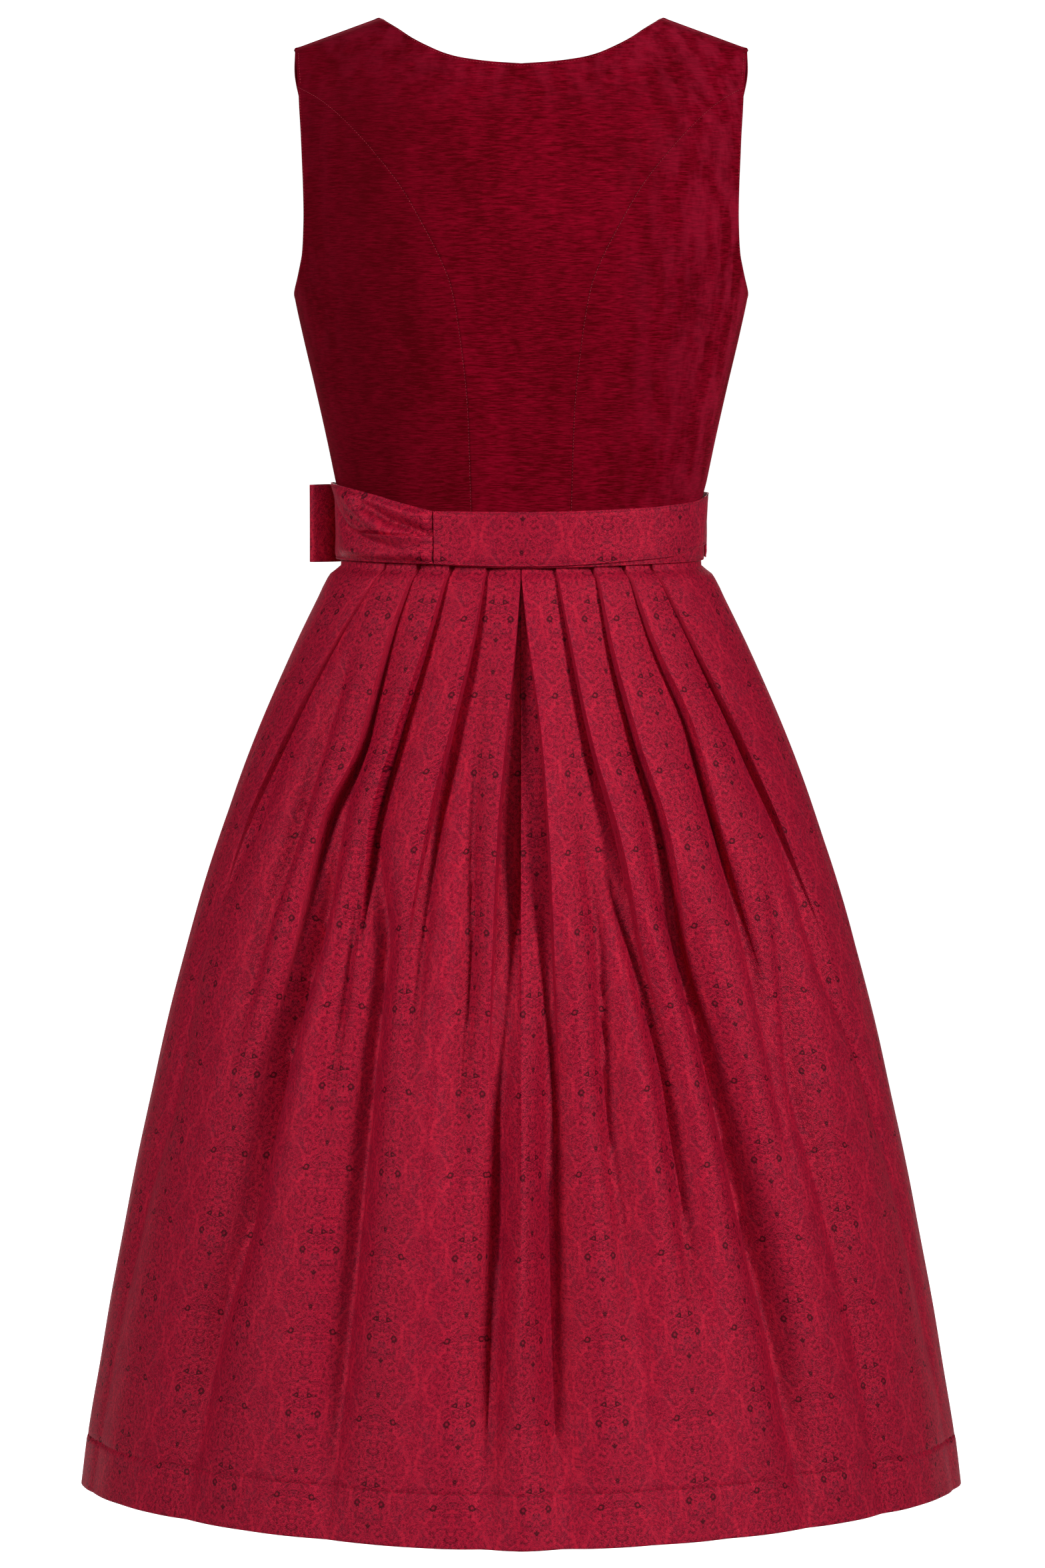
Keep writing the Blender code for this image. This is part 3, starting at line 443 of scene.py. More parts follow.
def velvet_panel(name, bottom, top, left, right, back, free, armhole=None):
    """Panel on the form between four (x, z) edges. free names its edges that aren't seams.
    armhole is the height above which its outer edge is part of an armhole."""
    grid = patch(bottom, top, left, right)
    grid[..., 1] = np.minimum(grid[..., 1], shoulder_height(grid[..., 0]))
    side = 1 if back else -1
    face = body(body_angle(grid[..., 0], grid[..., 1], back), grid[..., 1])
    face[..., 1] += side * seam_gap / 2
    out = normals(face)
    if np.sum(out[..., 1] * face[..., 1]) < 0:
        out = -out
    across, up = line_length(face.swapaxes(0, 1)).T, line_length(face)
    gaps = {"left": across, "right": across[:, -1:] - across, "bottom": up, "top": up[-1:] - up}
    lift = np.zeros(face.shape[:2])
    for edge, away in gaps.items():
        # A free edge is rolled over more than one that is pressed into a seam
        width, drop, swell, inside, spread = (
            (0.8, 0.8, 0.25, 2.4, 1.3) if edge in free else (0.5, 0.3, 0.40, 1.2, 1.1))
        lift -= edge_roll(away, width * mm, drop * mm)
        lift += swell * mm * bell(away - inside * mm, spread * mm)
    outer = face + out * lift[..., None]
    inner = face - out * bodice_wall
    inner[..., 1] = side * np.maximum(side * inner[..., 1], seam_gap / 2)
    item = shell(name, outer, inner, np.stack([across, up], -1))
    dressed(item, velvet, name.replace("velvet_", ""))
    # Understitching 2.6 mm inside the free edges, and along the seam a row of lighter stitches that
    # is partly a painted highlight on the pressed seam's ridge
    fixed = face + out * 0.25 * mm
    lines = []
    if "top" in free:
        lines.append(at_distance(fixed[::-1], gaps["top"][::-1])[4:-4])
    turned = fixed.swapaxes(0, 1)
    left_line = at_distance(turned, gaps["left"].T)[4:]
    right_line = at_distance(turned[::-1], gaps["right"].T[::-1])[4:]
    if "left" in free:
        lines.append(left_line)
    if armhole is not None:
        lines += [line[line[:, 2] > armhole] for line in (left_line, right_line)[not back:]]
    else:
        lines.append(face[2:-2, 0] + out[2:-2, 0] * 0.12 * mm)
    lines = [line[shoulder_height(line[:, 0]) - line[:, 2] > 3.2 * mm] for line in lines]
    thread = stitches(name + "_thread", lines, 2.3 * mm, 1.7 * mm, 0.42 * mm, velvet_thread)


def seam_line(rows):
    return np.array([(x * mm, z * mm) for z, x in rows])


back_princess = seam_line([
    (-371.7, 35.0), (-348, 35.9), (-277, 38.2), (-233, 42.5), (-188, 50.0), (-167, 58.1),
    (-144, 70.0), (-116, 86.2), (-94, 103.1), (-68, 126.9), (-52, 146.1), (-43, 161.9)])
back_armhole = seam_line([
    (-192, 166.0), (-190.5, 165.6), (-187, 164.6), (-182, 163.1), (-173, 160.9), (-163, 158.9),
    (-150, 158.0), (-134, 157.6), (-115, 158.0), (-96, 158.8), (-77, 159.7), (-57, 161.1),
    (-43, 161.9)])
back_yoke = seam_line([
    (-43, 161.9), (-28, 163.4), (-14.2, 165.0)])
back_neck = seam_line([
    (-27.0, 0), (-25.5, 20.6), (-22.4, 42.8), (-19.3, 54.4), (-13.1, 68.5), (-6.9, 79.8),
    (-0.7, 88.7), (4.4, 96.6), (8.5, 103.0)])


def along_shoulder(start, end, shares):
    x = start + (end - start) * shares
    return np.stack([x, shoulder_height(x)], -1)


def along_waist(start, end, shares):
    x = start + (end - start) * shares
    return np.stack([x, np.full_like(x, bodice_foot)], -1)


def side_seam(shares):
    z = bodice_foot + (underarm - bodice_foot) * shares
    return np.stack([curve(body_tables[0], z / mm) * mm, z], -1)


def seam_edge(line, side):
    """Cut edge beside a seam line of (x, z) places, ended at the waist."""
    along = np.gradient(line, axis=0)
    along /= np.linalg.norm(along, axis=1)[:, None]
    edge = line + np.stack([-along[:, 1], along[:, 0]], axis=1) * side * seam_gap / 2
    edge[0, 1] = bodice_foot
    return edge


def side_panels(name, princess, shares, armhole, armhole_shares, back):
    """The wearer's left panel from the princess seam to the side, and its mirror."""
    inner, outer = seam_edge(princess, -1), side_seam(shares)
    top = resampled(armhole[::-1], armhole_shares)
    top[0], top[-1] = inner[-1], outer[-1]
    edges = [along_waist(inner[0, 0], outer[0, 0], shares_along(top)), top, inner, outer]
    for side in ("left", "right"):
        velvet_panel(name + side, *edges, back, ("top",))
        edges = [mirrored(edge) for edge in edges]


back_shares = crowded(0.36, 3.2 * mm)
princess_b = resampled(back_princess, back_shares)
yoke = resampled(back_yoke, np.linspace(0, 1, 12))
centre_left = np.concatenate([seam_edge(princess_b, 1), yoke[1:]])
neck_b = resampled(back_neck, np.linspace(0, 1, 40))
half_top = np.concatenate([neck_b, along_shoulder(0.103, 0.165, np.linspace(0, 1, 22))[1:]])
centre_top = np.concatenate([mirrored(half_top[:0:-1]), half_top])
centre_bottom = along_waist(-centre_left[0, 0], centre_left[0, 0], shares_along(centre_top))
velvet_panel("velvet_back_centre", centre_bottom, centre_top, mirrored(centre_left), centre_left,
             True, ("top",), -41 * mm)
side_panels("velvet_back_side_", princess_b, back_shares, back_armhole, crowded(0.19, 3.2 * mm),
            True)

front_princess = seam_line([
    (-371.7, 46.0), (-328, 50.0), (-277, 64.0), (-233, 80.0), (-205, 88.0), (-180, 96.0),
    (-155, 107.0), (-135, 120.0), (-120, 134.0), (-108, 153.0)])
front_armhole = seam_line([
    (-192, 166.0), (-190.5, 165.2), (-187, 163.2), (-180, 160.2), (-168, 156.6), (-150, 153.2),
    (-130, 152.0), (-108, 153.0)])
front_strap = seam_line([
    (-108, 153.0), (-80, 157.5), (-55, 162.0), (-30, 166.0), (-14.2, 165.0)])
front_neck = seam_line([
    (-168, 0), (-167, 14), (-162, 34), (-150, 50), (-130, 58), (-95, 63), (-60, 66), (-30, 69),
    (-12, 75), (0, 88), (8.5, 103.0)])
# The right centre panel reaches over the middle by the lap, and the left one meets its edge
lap, neck_foot = 9 * mm, -168 * mm
front_shares, strap_shares = crowded(0.31, 3.4 * mm), crowded(0.09, 3.4 * mm)
princess_f = resampled(front_princess, front_shares)
strap = resampled(front_strap, np.linspace(0, 1, 40))
outer_edge = np.concatenate([seam_edge(princess_f, 1), strap[1:]])
neck_f = resampled(front_neck, np.linspace(0, 1, 74))
for side, start in (("left", lap + seam_gap), ("right", -lap)):
    inner_neck = neck_f[neck_f[:, 0] > start + 1 * mm]
    rise = np.linspace(bodice_foot, neck_foot, len(outer_edge) - len(inner_neck))
    inner_edge = np.concatenate([np.stack([np.full_like(rise, start), rise], -1), inner_neck])
    strap_top = along_shoulder(inner_edge[-1, 0], outer_edge[-1, 0], strap_shares)
    strap_top[0], strap_top[-1] = inner_edge[-1], outer_edge[-1]
    strap_foot = along_waist(start, outer_edge[0, 0], strap_shares)
    edges = [strap_foot, strap_top, inner_edge, outer_edge]
    if side == "right":
        edges = [mirrored(edge) for edge in edges]
    velvet_panel("velvet_front_centre_" + side, *edges, False, ("left",), -106 * mm)
side_panels("velvet_front_side_", princess_f, front_shares, front_armhole,
            crowded(0.12, 3.2 * mm), False)

# Skirt: two widths of satin jacquard, front and back, laid at the waist in knife pleats that
# face the centre, with one inverted pleat at the centre back. The pleats are pressed down to
# the hip and open below it into soft waves. The hem is turned up and blindstitched.
skirt_wall, skirt_foot, hem_height = 1.2 * mm, -1.070, 37 * mm
skirt_levels = (-372, -390, -397, -416, -455, -504, -573, -652, -731, -810, -889, -969, -1029,
                -1070)
skirt_tables = [list(zip(skirt_levels, values)) for values in (
    (132.0, 132.0, 140.0, 149.8, 168.6, 190.2, 216.2, 241.2, 261.6, 279.2, 295.3, 309.9, 320.0,
     325.5),
    (92.2, 92.2, 98, 106, 121, 138, 160, 185, 206, 225, 242, 257, 267, 273),
    (88.6, 88.6, 93, 100, 113, 128, 149, 171, 190, 208, 223, 237, 246, 251),
    (2.10, 2.10, 2.08, 2.06, 2.04, 2.00, 1.95, 1.89, 1.84, 1.79, 1.74, 1.69, 1.66, 1.65))]


def skirt_form(angle, z):
    return rounded(skirt_tables, angle, z)


def outward(form, angle, z):
    """Level direction away from a form, and metres along it for each radian."""
    step = 0.01
    along = form(angle + step, z) - form(angle - step, z)
    out = np.stack([-along[..., 1], along[..., 0], np.zeros_like(z)], -1)
    out /= np.linalg.norm(out, axis=-1)[..., None]
    out *= np.sign(np.sum(out * form(angle, z), -1))[..., None]
    return out, np.maximum(np.linalg.norm(along, axis=-1) / (2 * step), 0.02)


# Each pleat, from the side to the centre: where its edge lies as a share of the half width at
# seven levels, how deep the cloth lies beside it, and the level down to which it is pressed
pleat_levels = (-397, -435, -505, -571, -663, -759, -1070)
left_pleats = [
    ((0.750, 0.817, 0.883, 0.922, 0.935, 0.945, 0.955), 0.5, -660),
    ((0.572, 0.596, 0.600, 0.676, 0.693, 0.722, 0.760), 1.1, -710),
    ((0.393, 0.421, 0.474, 0.512, 0.500, 0.490, 0.480), 1.3, -690),
    ((0.193, 0.212, 0.270, 0.318, 0.343, 0.345, 0.345), 1.2, -690),
    ((0.004, 0.021, 0.055, 0.078, 0.087, 0.093, 0.110), 1.6, -750)]
right_pleats = [
    ((0.721, 0.759, 0.820, 0.870, 0.910, 0.930, 0.950), 0.7, -680),
    ((0.572, 0.590, 0.658, 0.678, 0.711, 0.760, 0.800), 1.0, -690),
    ((0.400, 0.402, 0.436, 0.490, 0.516, 0.582, 0.660), 1.1, -740),
    ((0.193, 0.218, 0.260, 0.322, 0.378, 0.445, 0.500), 1.0, -740),
    ((0.004, 0.030, 0.076, 0.092, 0.102, 0.115, 0.140), 1.1, -770)]
front_pleats = [
    ((0.680, 0.710, 0.760, 0.800, 0.830, 0.850, 0.880), 0.9, -680),
    ((0.455, 0.480, 0.520, 0.560, 0.590, 0.620, 0.670), 1.0, -680),
    ((0.230, 0.250, 0.290, 0.325, 0.350, 0.375, 0.410), 1.0, -680),
    ((0.004, 0.020, 0.045, 0.070, 0.090, 0.100, 0.120), 1.0, -700)]
pleat_depths = [
    (-397, 3.4), (-440, 7.0), (-504, 11.0), (-573, 14.0), (-652, 15.0), (-1070, 15.0)]
# The soft valleys that the pleats open into: shares of the half width at seven levels, how
# deep each lies there, and how wide it is
valley_levels = (-505, -571, -663, -759, -855, -947, -1070)
left_valleys = [
    ((0.870, 0.888, 0.947, 0.934, 0.959, 0.965, 0.970), (0, 3, 3, 5, 6, 3, 2), 9),
    ((0.754, 0.761, 0.781, 0.790, 0.800, 0.810, 0.820), (9, 12, 8, 2, 0, 0, 0), 8),
    ((0.600, 0.624, 0.650, 0.689, 0.704, 0.743, 0.750), (0, 9, 26, 28, 20, 17, 4), 12),
    ((0.525, 0.525, 0.526, 0.528, 0.530, 0.530, 0.530), (0, 0, 14, 10, 0, 0, 0), 9),
    ((0.492, 0.492, 0.425, 0.429, 0.429, 0.430, 0.430), (0, 4, 25, 26, 24, 19, 4), 13),
    ((0.250, 0.293, 0.301, 0.305, 0.310, 0.310, 0.310), (0, 8, 12, 3, 0, 0, 0), 8),
    ((0.170, 0.170, 0.156, 0.172, 0.180, 0.180, 0.180), (4, 14, 18, 16, 3, 0, 0), 10),
    ((0.034, 0.034, 0.037, 0.060, 0.070, 0.081, 0.083), (0, 4, 10, 26, 34, 30, 6), 13)]
right_valleys = [
    ((0.840, 0.866, 0.878, 0.941, 0.960, 0.970, 0.980), (0, 2, 8, 7, 4, 3, 2), 9),
    ((0.790, 0.790, 0.778, 0.752, 0.782, 0.800, 0.810), (0, 0, 8, 13, 11, 9, 4), 12),
    ((0.678, 0.678, 0.691, 0.700, 0.700, 0.700, 0.700), (0, 6, 14, 8, 0, 0, 0), 10),
    ((0.441, 0.441, 0.496, 0.555, 0.595, 0.622, 0.635), (0, 4, 22, 30, 30, 22, 4), 12),
    ((0.266, 0.266, 0.356, 0.409, 0.429, 0.440, 0.450), (0, 2, 20, 25, 19, 6, 2), 11),
    ((0.215, 0.215, 0.246, 0.251, 0.275, 0.286, 0.290), (0, 7, 20, 28, 22, 12, 3), 14),
    ((0.083, 0.083, 0.083, 0.090, 0.090, 0.092, 0.100), (0, 0, 12, 32, 38, 34, 7), 15)]
front_valleys = [
    ((0.75, 0.78, 0.80, 0.82, 0.84, 0.85, 0.86), (0, 4, 11, 13, 12, 9, 4), 12),
    ((0.50, 0.53, 0.56, 0.58, 0.60, 0.62, 0.64), (0, 6, 16, 18, 16, 13, 5), 14),
    ((0.27, 0.29, 0.32, 0.34, 0.36, 0.37, 0.38), (0, 6, 16, 18, 16, 13, 5), 14),
    ((0.02, 0.03, 0.04, 0.05, 0.06, 0.07, 0.07), (0, 4, 12, 14, 13, 10, 5), 12)]
# Columns of points for each step beside an edge and for each face between two steps
step_stops = (0.0, 0.25, 0.5, 0.75)
face_stops = np.linspace(0, 1, 23)[:-1]


def share_angle(levels, shares, z):
    share = curve(list(zip(levels, shares)), z / mm)
    return np.arcsin(share ** (curve(skirt_tables[3], z / mm) / 2))


def pleated_half(pleats, valleys, z, back):
    """Angle, depth and width in the cut of each point from the side seam to the centre."""
    level = z / mm
    start, low = np.full_like(z, math.pi / 2), 0.0 * z
    angles, depths, faces = [], [], []
    for number, pleat in enumerate(pleats + [None]):
        # The face that shows, from under the edge before to this edge or the centre line
        edge = share_angle(pleat_levels, pleat[0], z) if pleat else 0.0 * z
        for stop in face_stops if pleat else face_stops[::3]:
            angles.append(start + (edge - start) * stop)
            depths.append(low * (1 - math.sin(stop * math.pi / 2) if pleat else 1))
            faces.append(number)
        if pleat is None:
            break
        # The step down beside the edge, where the cloth laid under the pleat begins
        speed = outward(skirt_form, edge if back else math.pi - edge, z)[1]
        low = curve(pleat_depths, level) * ramp((level - pleat[2]) / 170) * pleat[1] * mm
        start = edge - 0.9 * mm / speed
        for stop in step_stops:
            angles.append(edge + (start - edge) * stop)
            depths.append(low * ramp(stop))
            faces.append(-1)
    angles, depths, faces = np.stack(angles, -1), np.stack(depths, -1), np.array(faces)
    for shares, lows, width in valleys:
        at = share_angle(valley_levels, shares, z)
        speed = outward(skirt_form, at if back else math.pi - at, z)[1]
        # Each valley widens towards the hem
        width = width * mm * (1 + 0.4 * ramp((-600 - level) / 350))
        away = (angles - at[:, None]) * (speed / width)[:, None]
        low = curve(list(zip(valley_levels, lows)), level) * ramp((-440 - level) / 60) * mm
        depths = depths + low[:, None] * np.exp(-(away ** 2 + 0.01) ** 0.62)
    # Widths run back from each edge at true size, and the hem takes up the whole cloth
    turn = angles if back else math.pi - angles
    heights = z[:, None] + 0 * turn
    out = outward(skirt_form, turn, heights)[0]
    points = skirt_form(turn, heights) - out * depths[..., None]
    steps = np.linalg.norm(points[:, 1:] - points[:, :-1], axis=-1)
    middle = np.linalg.norm(points[:, -1] * [1, 0, 0], axis=-1)
    steps = np.concatenate([steps, middle[:, None]], 1)
    widths, total = np.zeros_like(angles), 0.0
    for number in range(len(pleats) + 1):
        columns = np.nonzero(faces == number)[0]
        first = columns[0] - len(step_stops)
        run = np.cumsum(steps[:, columns[::-1]], 1)[:, ::-1]
        total += run[-1, 0]
        if number:
            total += steps[-1, first:columns[0]].sum()
        widths[:, columns] = total - run
        if number:
            edge_at = widths[:, first - 1] + steps[:, first - 1]
            for k, stop in enumerate(step_stops):
                widths[:, first + k] = edge_at + (widths[:, columns[0]] - edge_at) * stop
    return angles, depths, widths, total


dark_thread = new_material("jacquard_thread", Base_Color=(0.15, 0.003, 0.012, 1),
                           Roughness=0.7)[0]


def skirt_width(name, left, right, left_lows, right_lows, back):
    """One width of the skirt from its pleats and valleys on the wearer's left and right."""
    # Rows of points, close together at the waist, where the hem is stitched and at its foot
    z = np.concatenate([np.linspace(-372, -400, 10)[:-1], np.linspace(-400, -1026, 92),
                        [-1029, -1031.2, -1032.2, -1033, -1033.8, -1034.8],
                        np.linspace(-1037, -1068, 11), [-1069.2, -1069.8, -1070]]) * mm
    left_angle, left_depth, left_run, left_width = pleated_half(left, left_lows, z, back)
    right_angle, right_depth, right_run, right_width = pleated_half(right, right_lows, z, back)
    middle = np.minimum(left_depth[:, -1:], right_depth[:, -1:])
    angle = np.concatenate([left_angle, 0 * z[:, None], -right_angle[:, ::-1]], 1)
    depth = np.concatenate([left_depth, middle, right_depth[:, ::-1]], 1)
    whole = left_width + right_width
    width = np.concatenate([left_run, 0 * left_run[:, :1] + left_width,
                            whole - right_run[:, ::-1]], 1)
    z = np.repeat(z[:, None], angle.shape[1], 1)
    turn = angle if back else math.pi - angle
    form, out = skirt_form(turn, z), outward(skirt_form, turn, z)[0]
    ripple = 0.35 * mm * np.sin(turn * 31 + z * 38) * np.sin(turn * 13 - z * 24 + 2)
    above_foot = z - skirt_foot
    hem_line = bell(above_foot - hem_height, 1.2 * mm)
    pucker = 0.5 + 0.5 * np.sin(width * 2 * math.pi / (9 * mm))
    hemmed = ramp((hem_height - above_foot) / (3 * mm))
    depth = depth - ripple * ramp((-0.40 - z) / 0.1) + 1.3 * mm * hem_line * pucker
    depth = depth - 0.50 * mm * hemmed
    rim = edge_roll(above_foot, 0.8 * mm, 0.8 * mm)
    outer = form - out * (depth + rim)[..., None]
    inside = np.maximum(skirt_wall * (1 + hemmed) - rim, 0.3 * mm)
    inner = form - out * (depth + inside)[..., None]
    # Both widths end in the plane of the side seams
    for points in (outer, inner):
        points[:, 0, 1] = points[:, -1, 1] = 0.0
    up = line_length(form)
    item = shell(name, outer, inner, np.stack([width, -up], -1))
    dressed(item, jacquard, name.replace("jacquard_", ""))
    # The hem's blind stitches catch only a few threads of the face
    hem = outer[np.argmin(np.abs(above_foot[:, 0] - hem_height)), 2:-2]
    hem = hem + out[40, 2:-2] * 0.05 * mm
    thread = stitches(name + "_thread", [hem], 4.2 * mm, 2.2 * mm, 0.55 * mm, dark_thread)


# Jacquard: satin ground with mirrored columns of leaf fans in half drop. Fine contour
# lines fill it, small dark flowers stand in pairs across each column, and lighter loops
# link the columns.
jacquard, tree, satin = new_material("jacquard", Roughness=0.50, Metallic=0.22,
                                     Specular_IOR_Level=0.12)
column_pitch, row_pitch = 0.062, 0.116
cut_place = add(tree, "ShaderNodeUVMap", uv_map="cut").outputs["UV"]
split = add(tree, "ShaderNodeSeparateXYZ", Vector=cut_place)
column_at = calc(tree, "DIVIDE", split.outputs["X"], column_pitch)
odd_column = calc(tree, "MODULO", calc(tree, "FLOOR", column_at), 2.0)
across = calc(tree, "ABSOLUTE", calc(tree, "SUBTRACT", calc(tree, "FRACT", column_at), 0.5))
across = calc(tree, "MULTIPLY", across, column_pitch)
down = calc(tree, "MULTIPLY_ADD", odd_column, row_pitch / 2, split.outputs["Y"])
beside_row = calc(tree, "SUBTRACT", calc(tree, "FRACT", calc(tree, "DIVIDE", down, row_pitch)), 0.5)
beside_row = calc(tree, "MULTIPLY", beside_row, row_pitch)
motif_place = add(tree, "ShaderNodeCombineXYZ", X=across, Y=beside_row).outputs["Vector"]


def cloth_noise(scale, detail):
    return add(tree, "ShaderNodeTexNoise", Vector=motif_place, Scale=scale, Detail=detail,
               Roughness=0.55).outputs["Fac"]


# Short strokes that wander like contour lines, in light and dark clumps, and longer veins
small, coarse = cloth_noise(210.0, 2.0), cloth_noise(95.0, 1.5)
clumps = add(tree, "ShaderNodeTexNoise", Vector=motif_place, Scale=430.0, Detail=3.0,
             Roughness=0.75).outputs["Fac"]
strokes = calc(tree, "SINE", calc(tree, "MULTIPLY", small, 70.0))
strokes = calc(tree, "MULTIPLY_ADD", calc(tree, "SUBTRACT", clumps, 0.5), 9.0, strokes)
dark_strokes = band(tree, strokes, -1.3, 0.0, 1.0, 0.0)
light_strokes = band(tree, strokes, 0.2, 1.4)
vein = calc(tree, "SUBTRACT", calc(tree, "FRACT", calc(tree, "MULTIPLY", coarse, 6.0)), 0.5)
veins = band(tree, calc(tree, "ABSOLUTE", vein), 0.06, 0.20, 1.0, 0.0)
# Pointed loops that link the columns
bend = calc(tree, "COSINE", calc(tree, "MULTIPLY", beside_row, 4 * math.pi / row_pitch))
loop = calc(tree, "SUBTRACT", calc(tree, "MULTIPLY_ADD", bend, -0.0075, 0.0215), across)
loop = calc(tree, "ADD", loop, calc(tree, "MULTIPLY", coarse, 0.011))
loops = band(tree, calc(tree, "ABSOLUTE", calc(tree, "SUBTRACT", loop, 0.0055)), 0.0006, 0.0019,
             1.0, 0.0)
# Flowers as small dark rings in pairs, wide and narrow by turns, with dots between them
petals = calc(tree, "MULTIPLY", calc(tree, "SUBTRACT", small, 0.5), 0.0028)
petals = calc(tree, "MULTIPLY_ADD", calc(tree, "SUBTRACT", clumps, 0.5), 0.0022, petals)


def spot(x, y, size, hollow):
    gap = [calc(tree, "POWER", calc(tree, "SUBTRACT", value, at), 2.0)
           for value, at in ((across, x), (beside_row, y))]
    gap = calc(tree, "ADD", calc(tree, "SQRT", calc(tree, "ADD", *gap)), petals)
    gap = calc(tree, "ABSOLUTE", calc(tree, "SUBTRACT", gap, hollow))
    return band(tree, gap, size * 0.5, size, 1.0, 0.0)


flowers = spot(0.0093, 0.0, 0.0009, 0.0017)
for x, y, size, hollow in ((0.0135, 0.058, 0.0009, 0.0017), (0.0135, -0.058, 0.0009, 0.0017),
                           (0.0022, -0.003, 0.0009, 0.0), (0.0, -0.016, 0.0009, 0.0008),
                           (0.0, -0.040, 0.0009, 0.0008), (0.0050, 0.013, 0.0008, 0.0013)):
    flowers = calc(tree, "MAXIMUM", flowers, spot(x, y, size, hollow))
mauve = band(tree, cloth_noise(60.0, 3.0), 0.50, 0.68)
colour = (0.360, 0.0060, 0.0330, 1)
for amount, strength, over in (
        (mauve, 0.40, (0.215, 0.016, 0.042, 1)),
        (light_strokes, 0.70, (0.64, 0.010, 0.046, 1)),
        (dark_strokes, band(tree, across, 0.006, 0.024, 0.85, 0.58), (0.110, 0.0026, 0.010, 1)),
        (veins, 0.42, (0.66, 0.012, 0.046, 1)),
        (calc(tree, "MULTIPLY", loops, clumps), 0.90, (0.66, 0.014, 0.050, 1)),
        (flowers, 0.85, (0.055, 0.0022, 0.008, 1))):
    colour = tint(tree, calc(tree, "MULTIPLY", amount, strength), colour, over)
link(tree, colour, satin.inputs["Base Color"])
weave = add(tree, "ShaderNodeBump", Strength=0.30, Distance=0.0003, Height=strokes)
link(tree, weave.outputs["Normal"], satin.inputs["Normal"])
skirt_width("jacquard_skirt_back", left_pleats, right_pleats, left_valleys, right_valleys, True)
skirt_width("jacquard_skirt_front", front_pleats, front_pleats, front_valleys, front_valleys,
            False)

# Apron: one width of the same jacquard, gathered at the top under the sash and left free at
# the sides, where it has narrow double hems. The bottom is turned up and blindstitched.
apron_top, apron_foot, apron_hem, side_hem = -374 * mm, -1022 * mm, 40 * mm, 10 * mm
apron_reach, apron_half, apron_cut, apron_long = 62, 0.31, 0.92, 0.664
apron_waves = [
    (-374, 0.7), (-405, 1.4), (-470, 3.0), (-600, 5.0), (-810, 6.5), (-1022, 7.5)]
z = np.concatenate([np.linspace(apron_top, -410 * mm, 14)[:-1],
                    np.linspace(-410 * mm, apron_foot + 3 * mm, 120),
                    apron_foot + np.array([1.8, 1.0, 0.5, 0.2, 0.0]) * mm])
share = 2 * crowded(0.6, 2.2 * mm) - 1
spread = (0.94 + 0.06 * ramp((apron_top - z) / 0.300)) * math.radians(apron_reach)
angle = math.pi + spread[:, None] * share[None, :]
z = np.repeat(z[:, None], len(share), 1)
turn = np.degrees(angle - math.pi) / apron_reach
ridge = (0.5 + 0.5 * np.cos(turn * math.pi * 12)) * (0.75 + 0.25 * np.sin(turn * 9 + 1.3))
lift = 0.7 * mm + curve(apron_waves, z / mm) * mm * ridge
# Small gathers under the band that die out, and the slack that hangs between the ridges
near_band = np.exp((z - apron_top) / 0.045)
lift += 0.9 * mm * near_band * (1 + np.sin(share * 113 + 2 * np.sin(share * 17)))
lift += 0.5 * mm * ramp((apron_top - z) / 0.1) * (1 + np.sin(share * 41 + z * 9)) * (
    0.6 + 0.4 * np.sin(share * 7 + 2))
side_gap = (1 - np.abs(share))[None, :] * apron_half
foot_gap = z - apron_foot
rim = edge_roll(np.minimum(side_gap, foot_gap), 0.8 * mm, 0.7 * mm)
hemmed = np.maximum(ramp((side_hem + 1 * mm - side_gap) / (2 * mm)),
                    ramp((apron_hem - foot_gap) / (3 * mm)))
stitched = bell(side_gap - side_hem, 0.8 * mm)
stitched = np.maximum(stitched, 0.7 * bell(foot_gap - apron_hem, 1.2 * mm))
form, out = skirt_form(angle, z), outward(skirt_form, angle, z)[0]
outer = form + out * (lift + 1.2 * mm + 0.25 * mm * hemmed - 0.35 * mm * stitched
                      - rim)[..., None]
inner = form + out * (lift + np.minimum(rim, 0.4 * mm))[..., None]
flat_across = np.broadcast_to(share / 2 * apron_cut, z.shape)
apron = shell("jacquard_apron", outer, inner, np.stack([flat_across, z], -1))
dressed(apron, jacquard, "apron")
foot_row = np.argmin(np.abs(foot_gap[:, 0] - apron_hem))
edges = [outer[foot_row, 2:-2] + out[foot_row, 2:-2] * 0.05 * mm]
apron_thread = stitches("jacquard_apron_thread", edges, 6.5 * mm, 1.6 * mm, 0.5 * mm,
                        dark_thread)
apron_wide = line_length(outer[-9:].swapaxes(0, 1)).max()

# Sash: two bands of doubled jacquard round the waist, edge stitched. The under band goes all
# the way round the back; the outer one is joined to a wide tie whose cloth is pleated into
# the join. The apron's own band and the right tie close the waist in front.
band_wall, stitch_in, waist_seam, waist_radius = 1.4 * mm, 1.6 * mm, -372 * mm, 0.115
# Rows of degrees from the centre back, top edge and bottom edge
under_rows = [
    (-90, -352, -386.5), (-45, -354, -387.5), (0, -355, -389.5), (45, -355, -385),
    (90, -352, -383)]
outer_rows = [
    (-90, -337.5, -374.0), (-65, -343.3, -378.2), (-53, -344.8, -382.5), (-42, -346.3, -384.0),
    (0, -348.8, -388.4), (27, -348.5, -386.9)]
left_tie_rows = [
    (27, -348.5, -386.9), (40, -342.2, -386.5), (50, -337.3, -386.2), (66, -332.5, -386.0),
    (90, -330.0, -385.8), (140, -339.0, -380.5)]
apron_band_rows = [
    (90, -345, -382), (180, -345, -383), (270, -345, -382)]
right_tie_rows = [
    (140, -339, -380.5), (180, -338, -382), (270, -337.5, -385)]


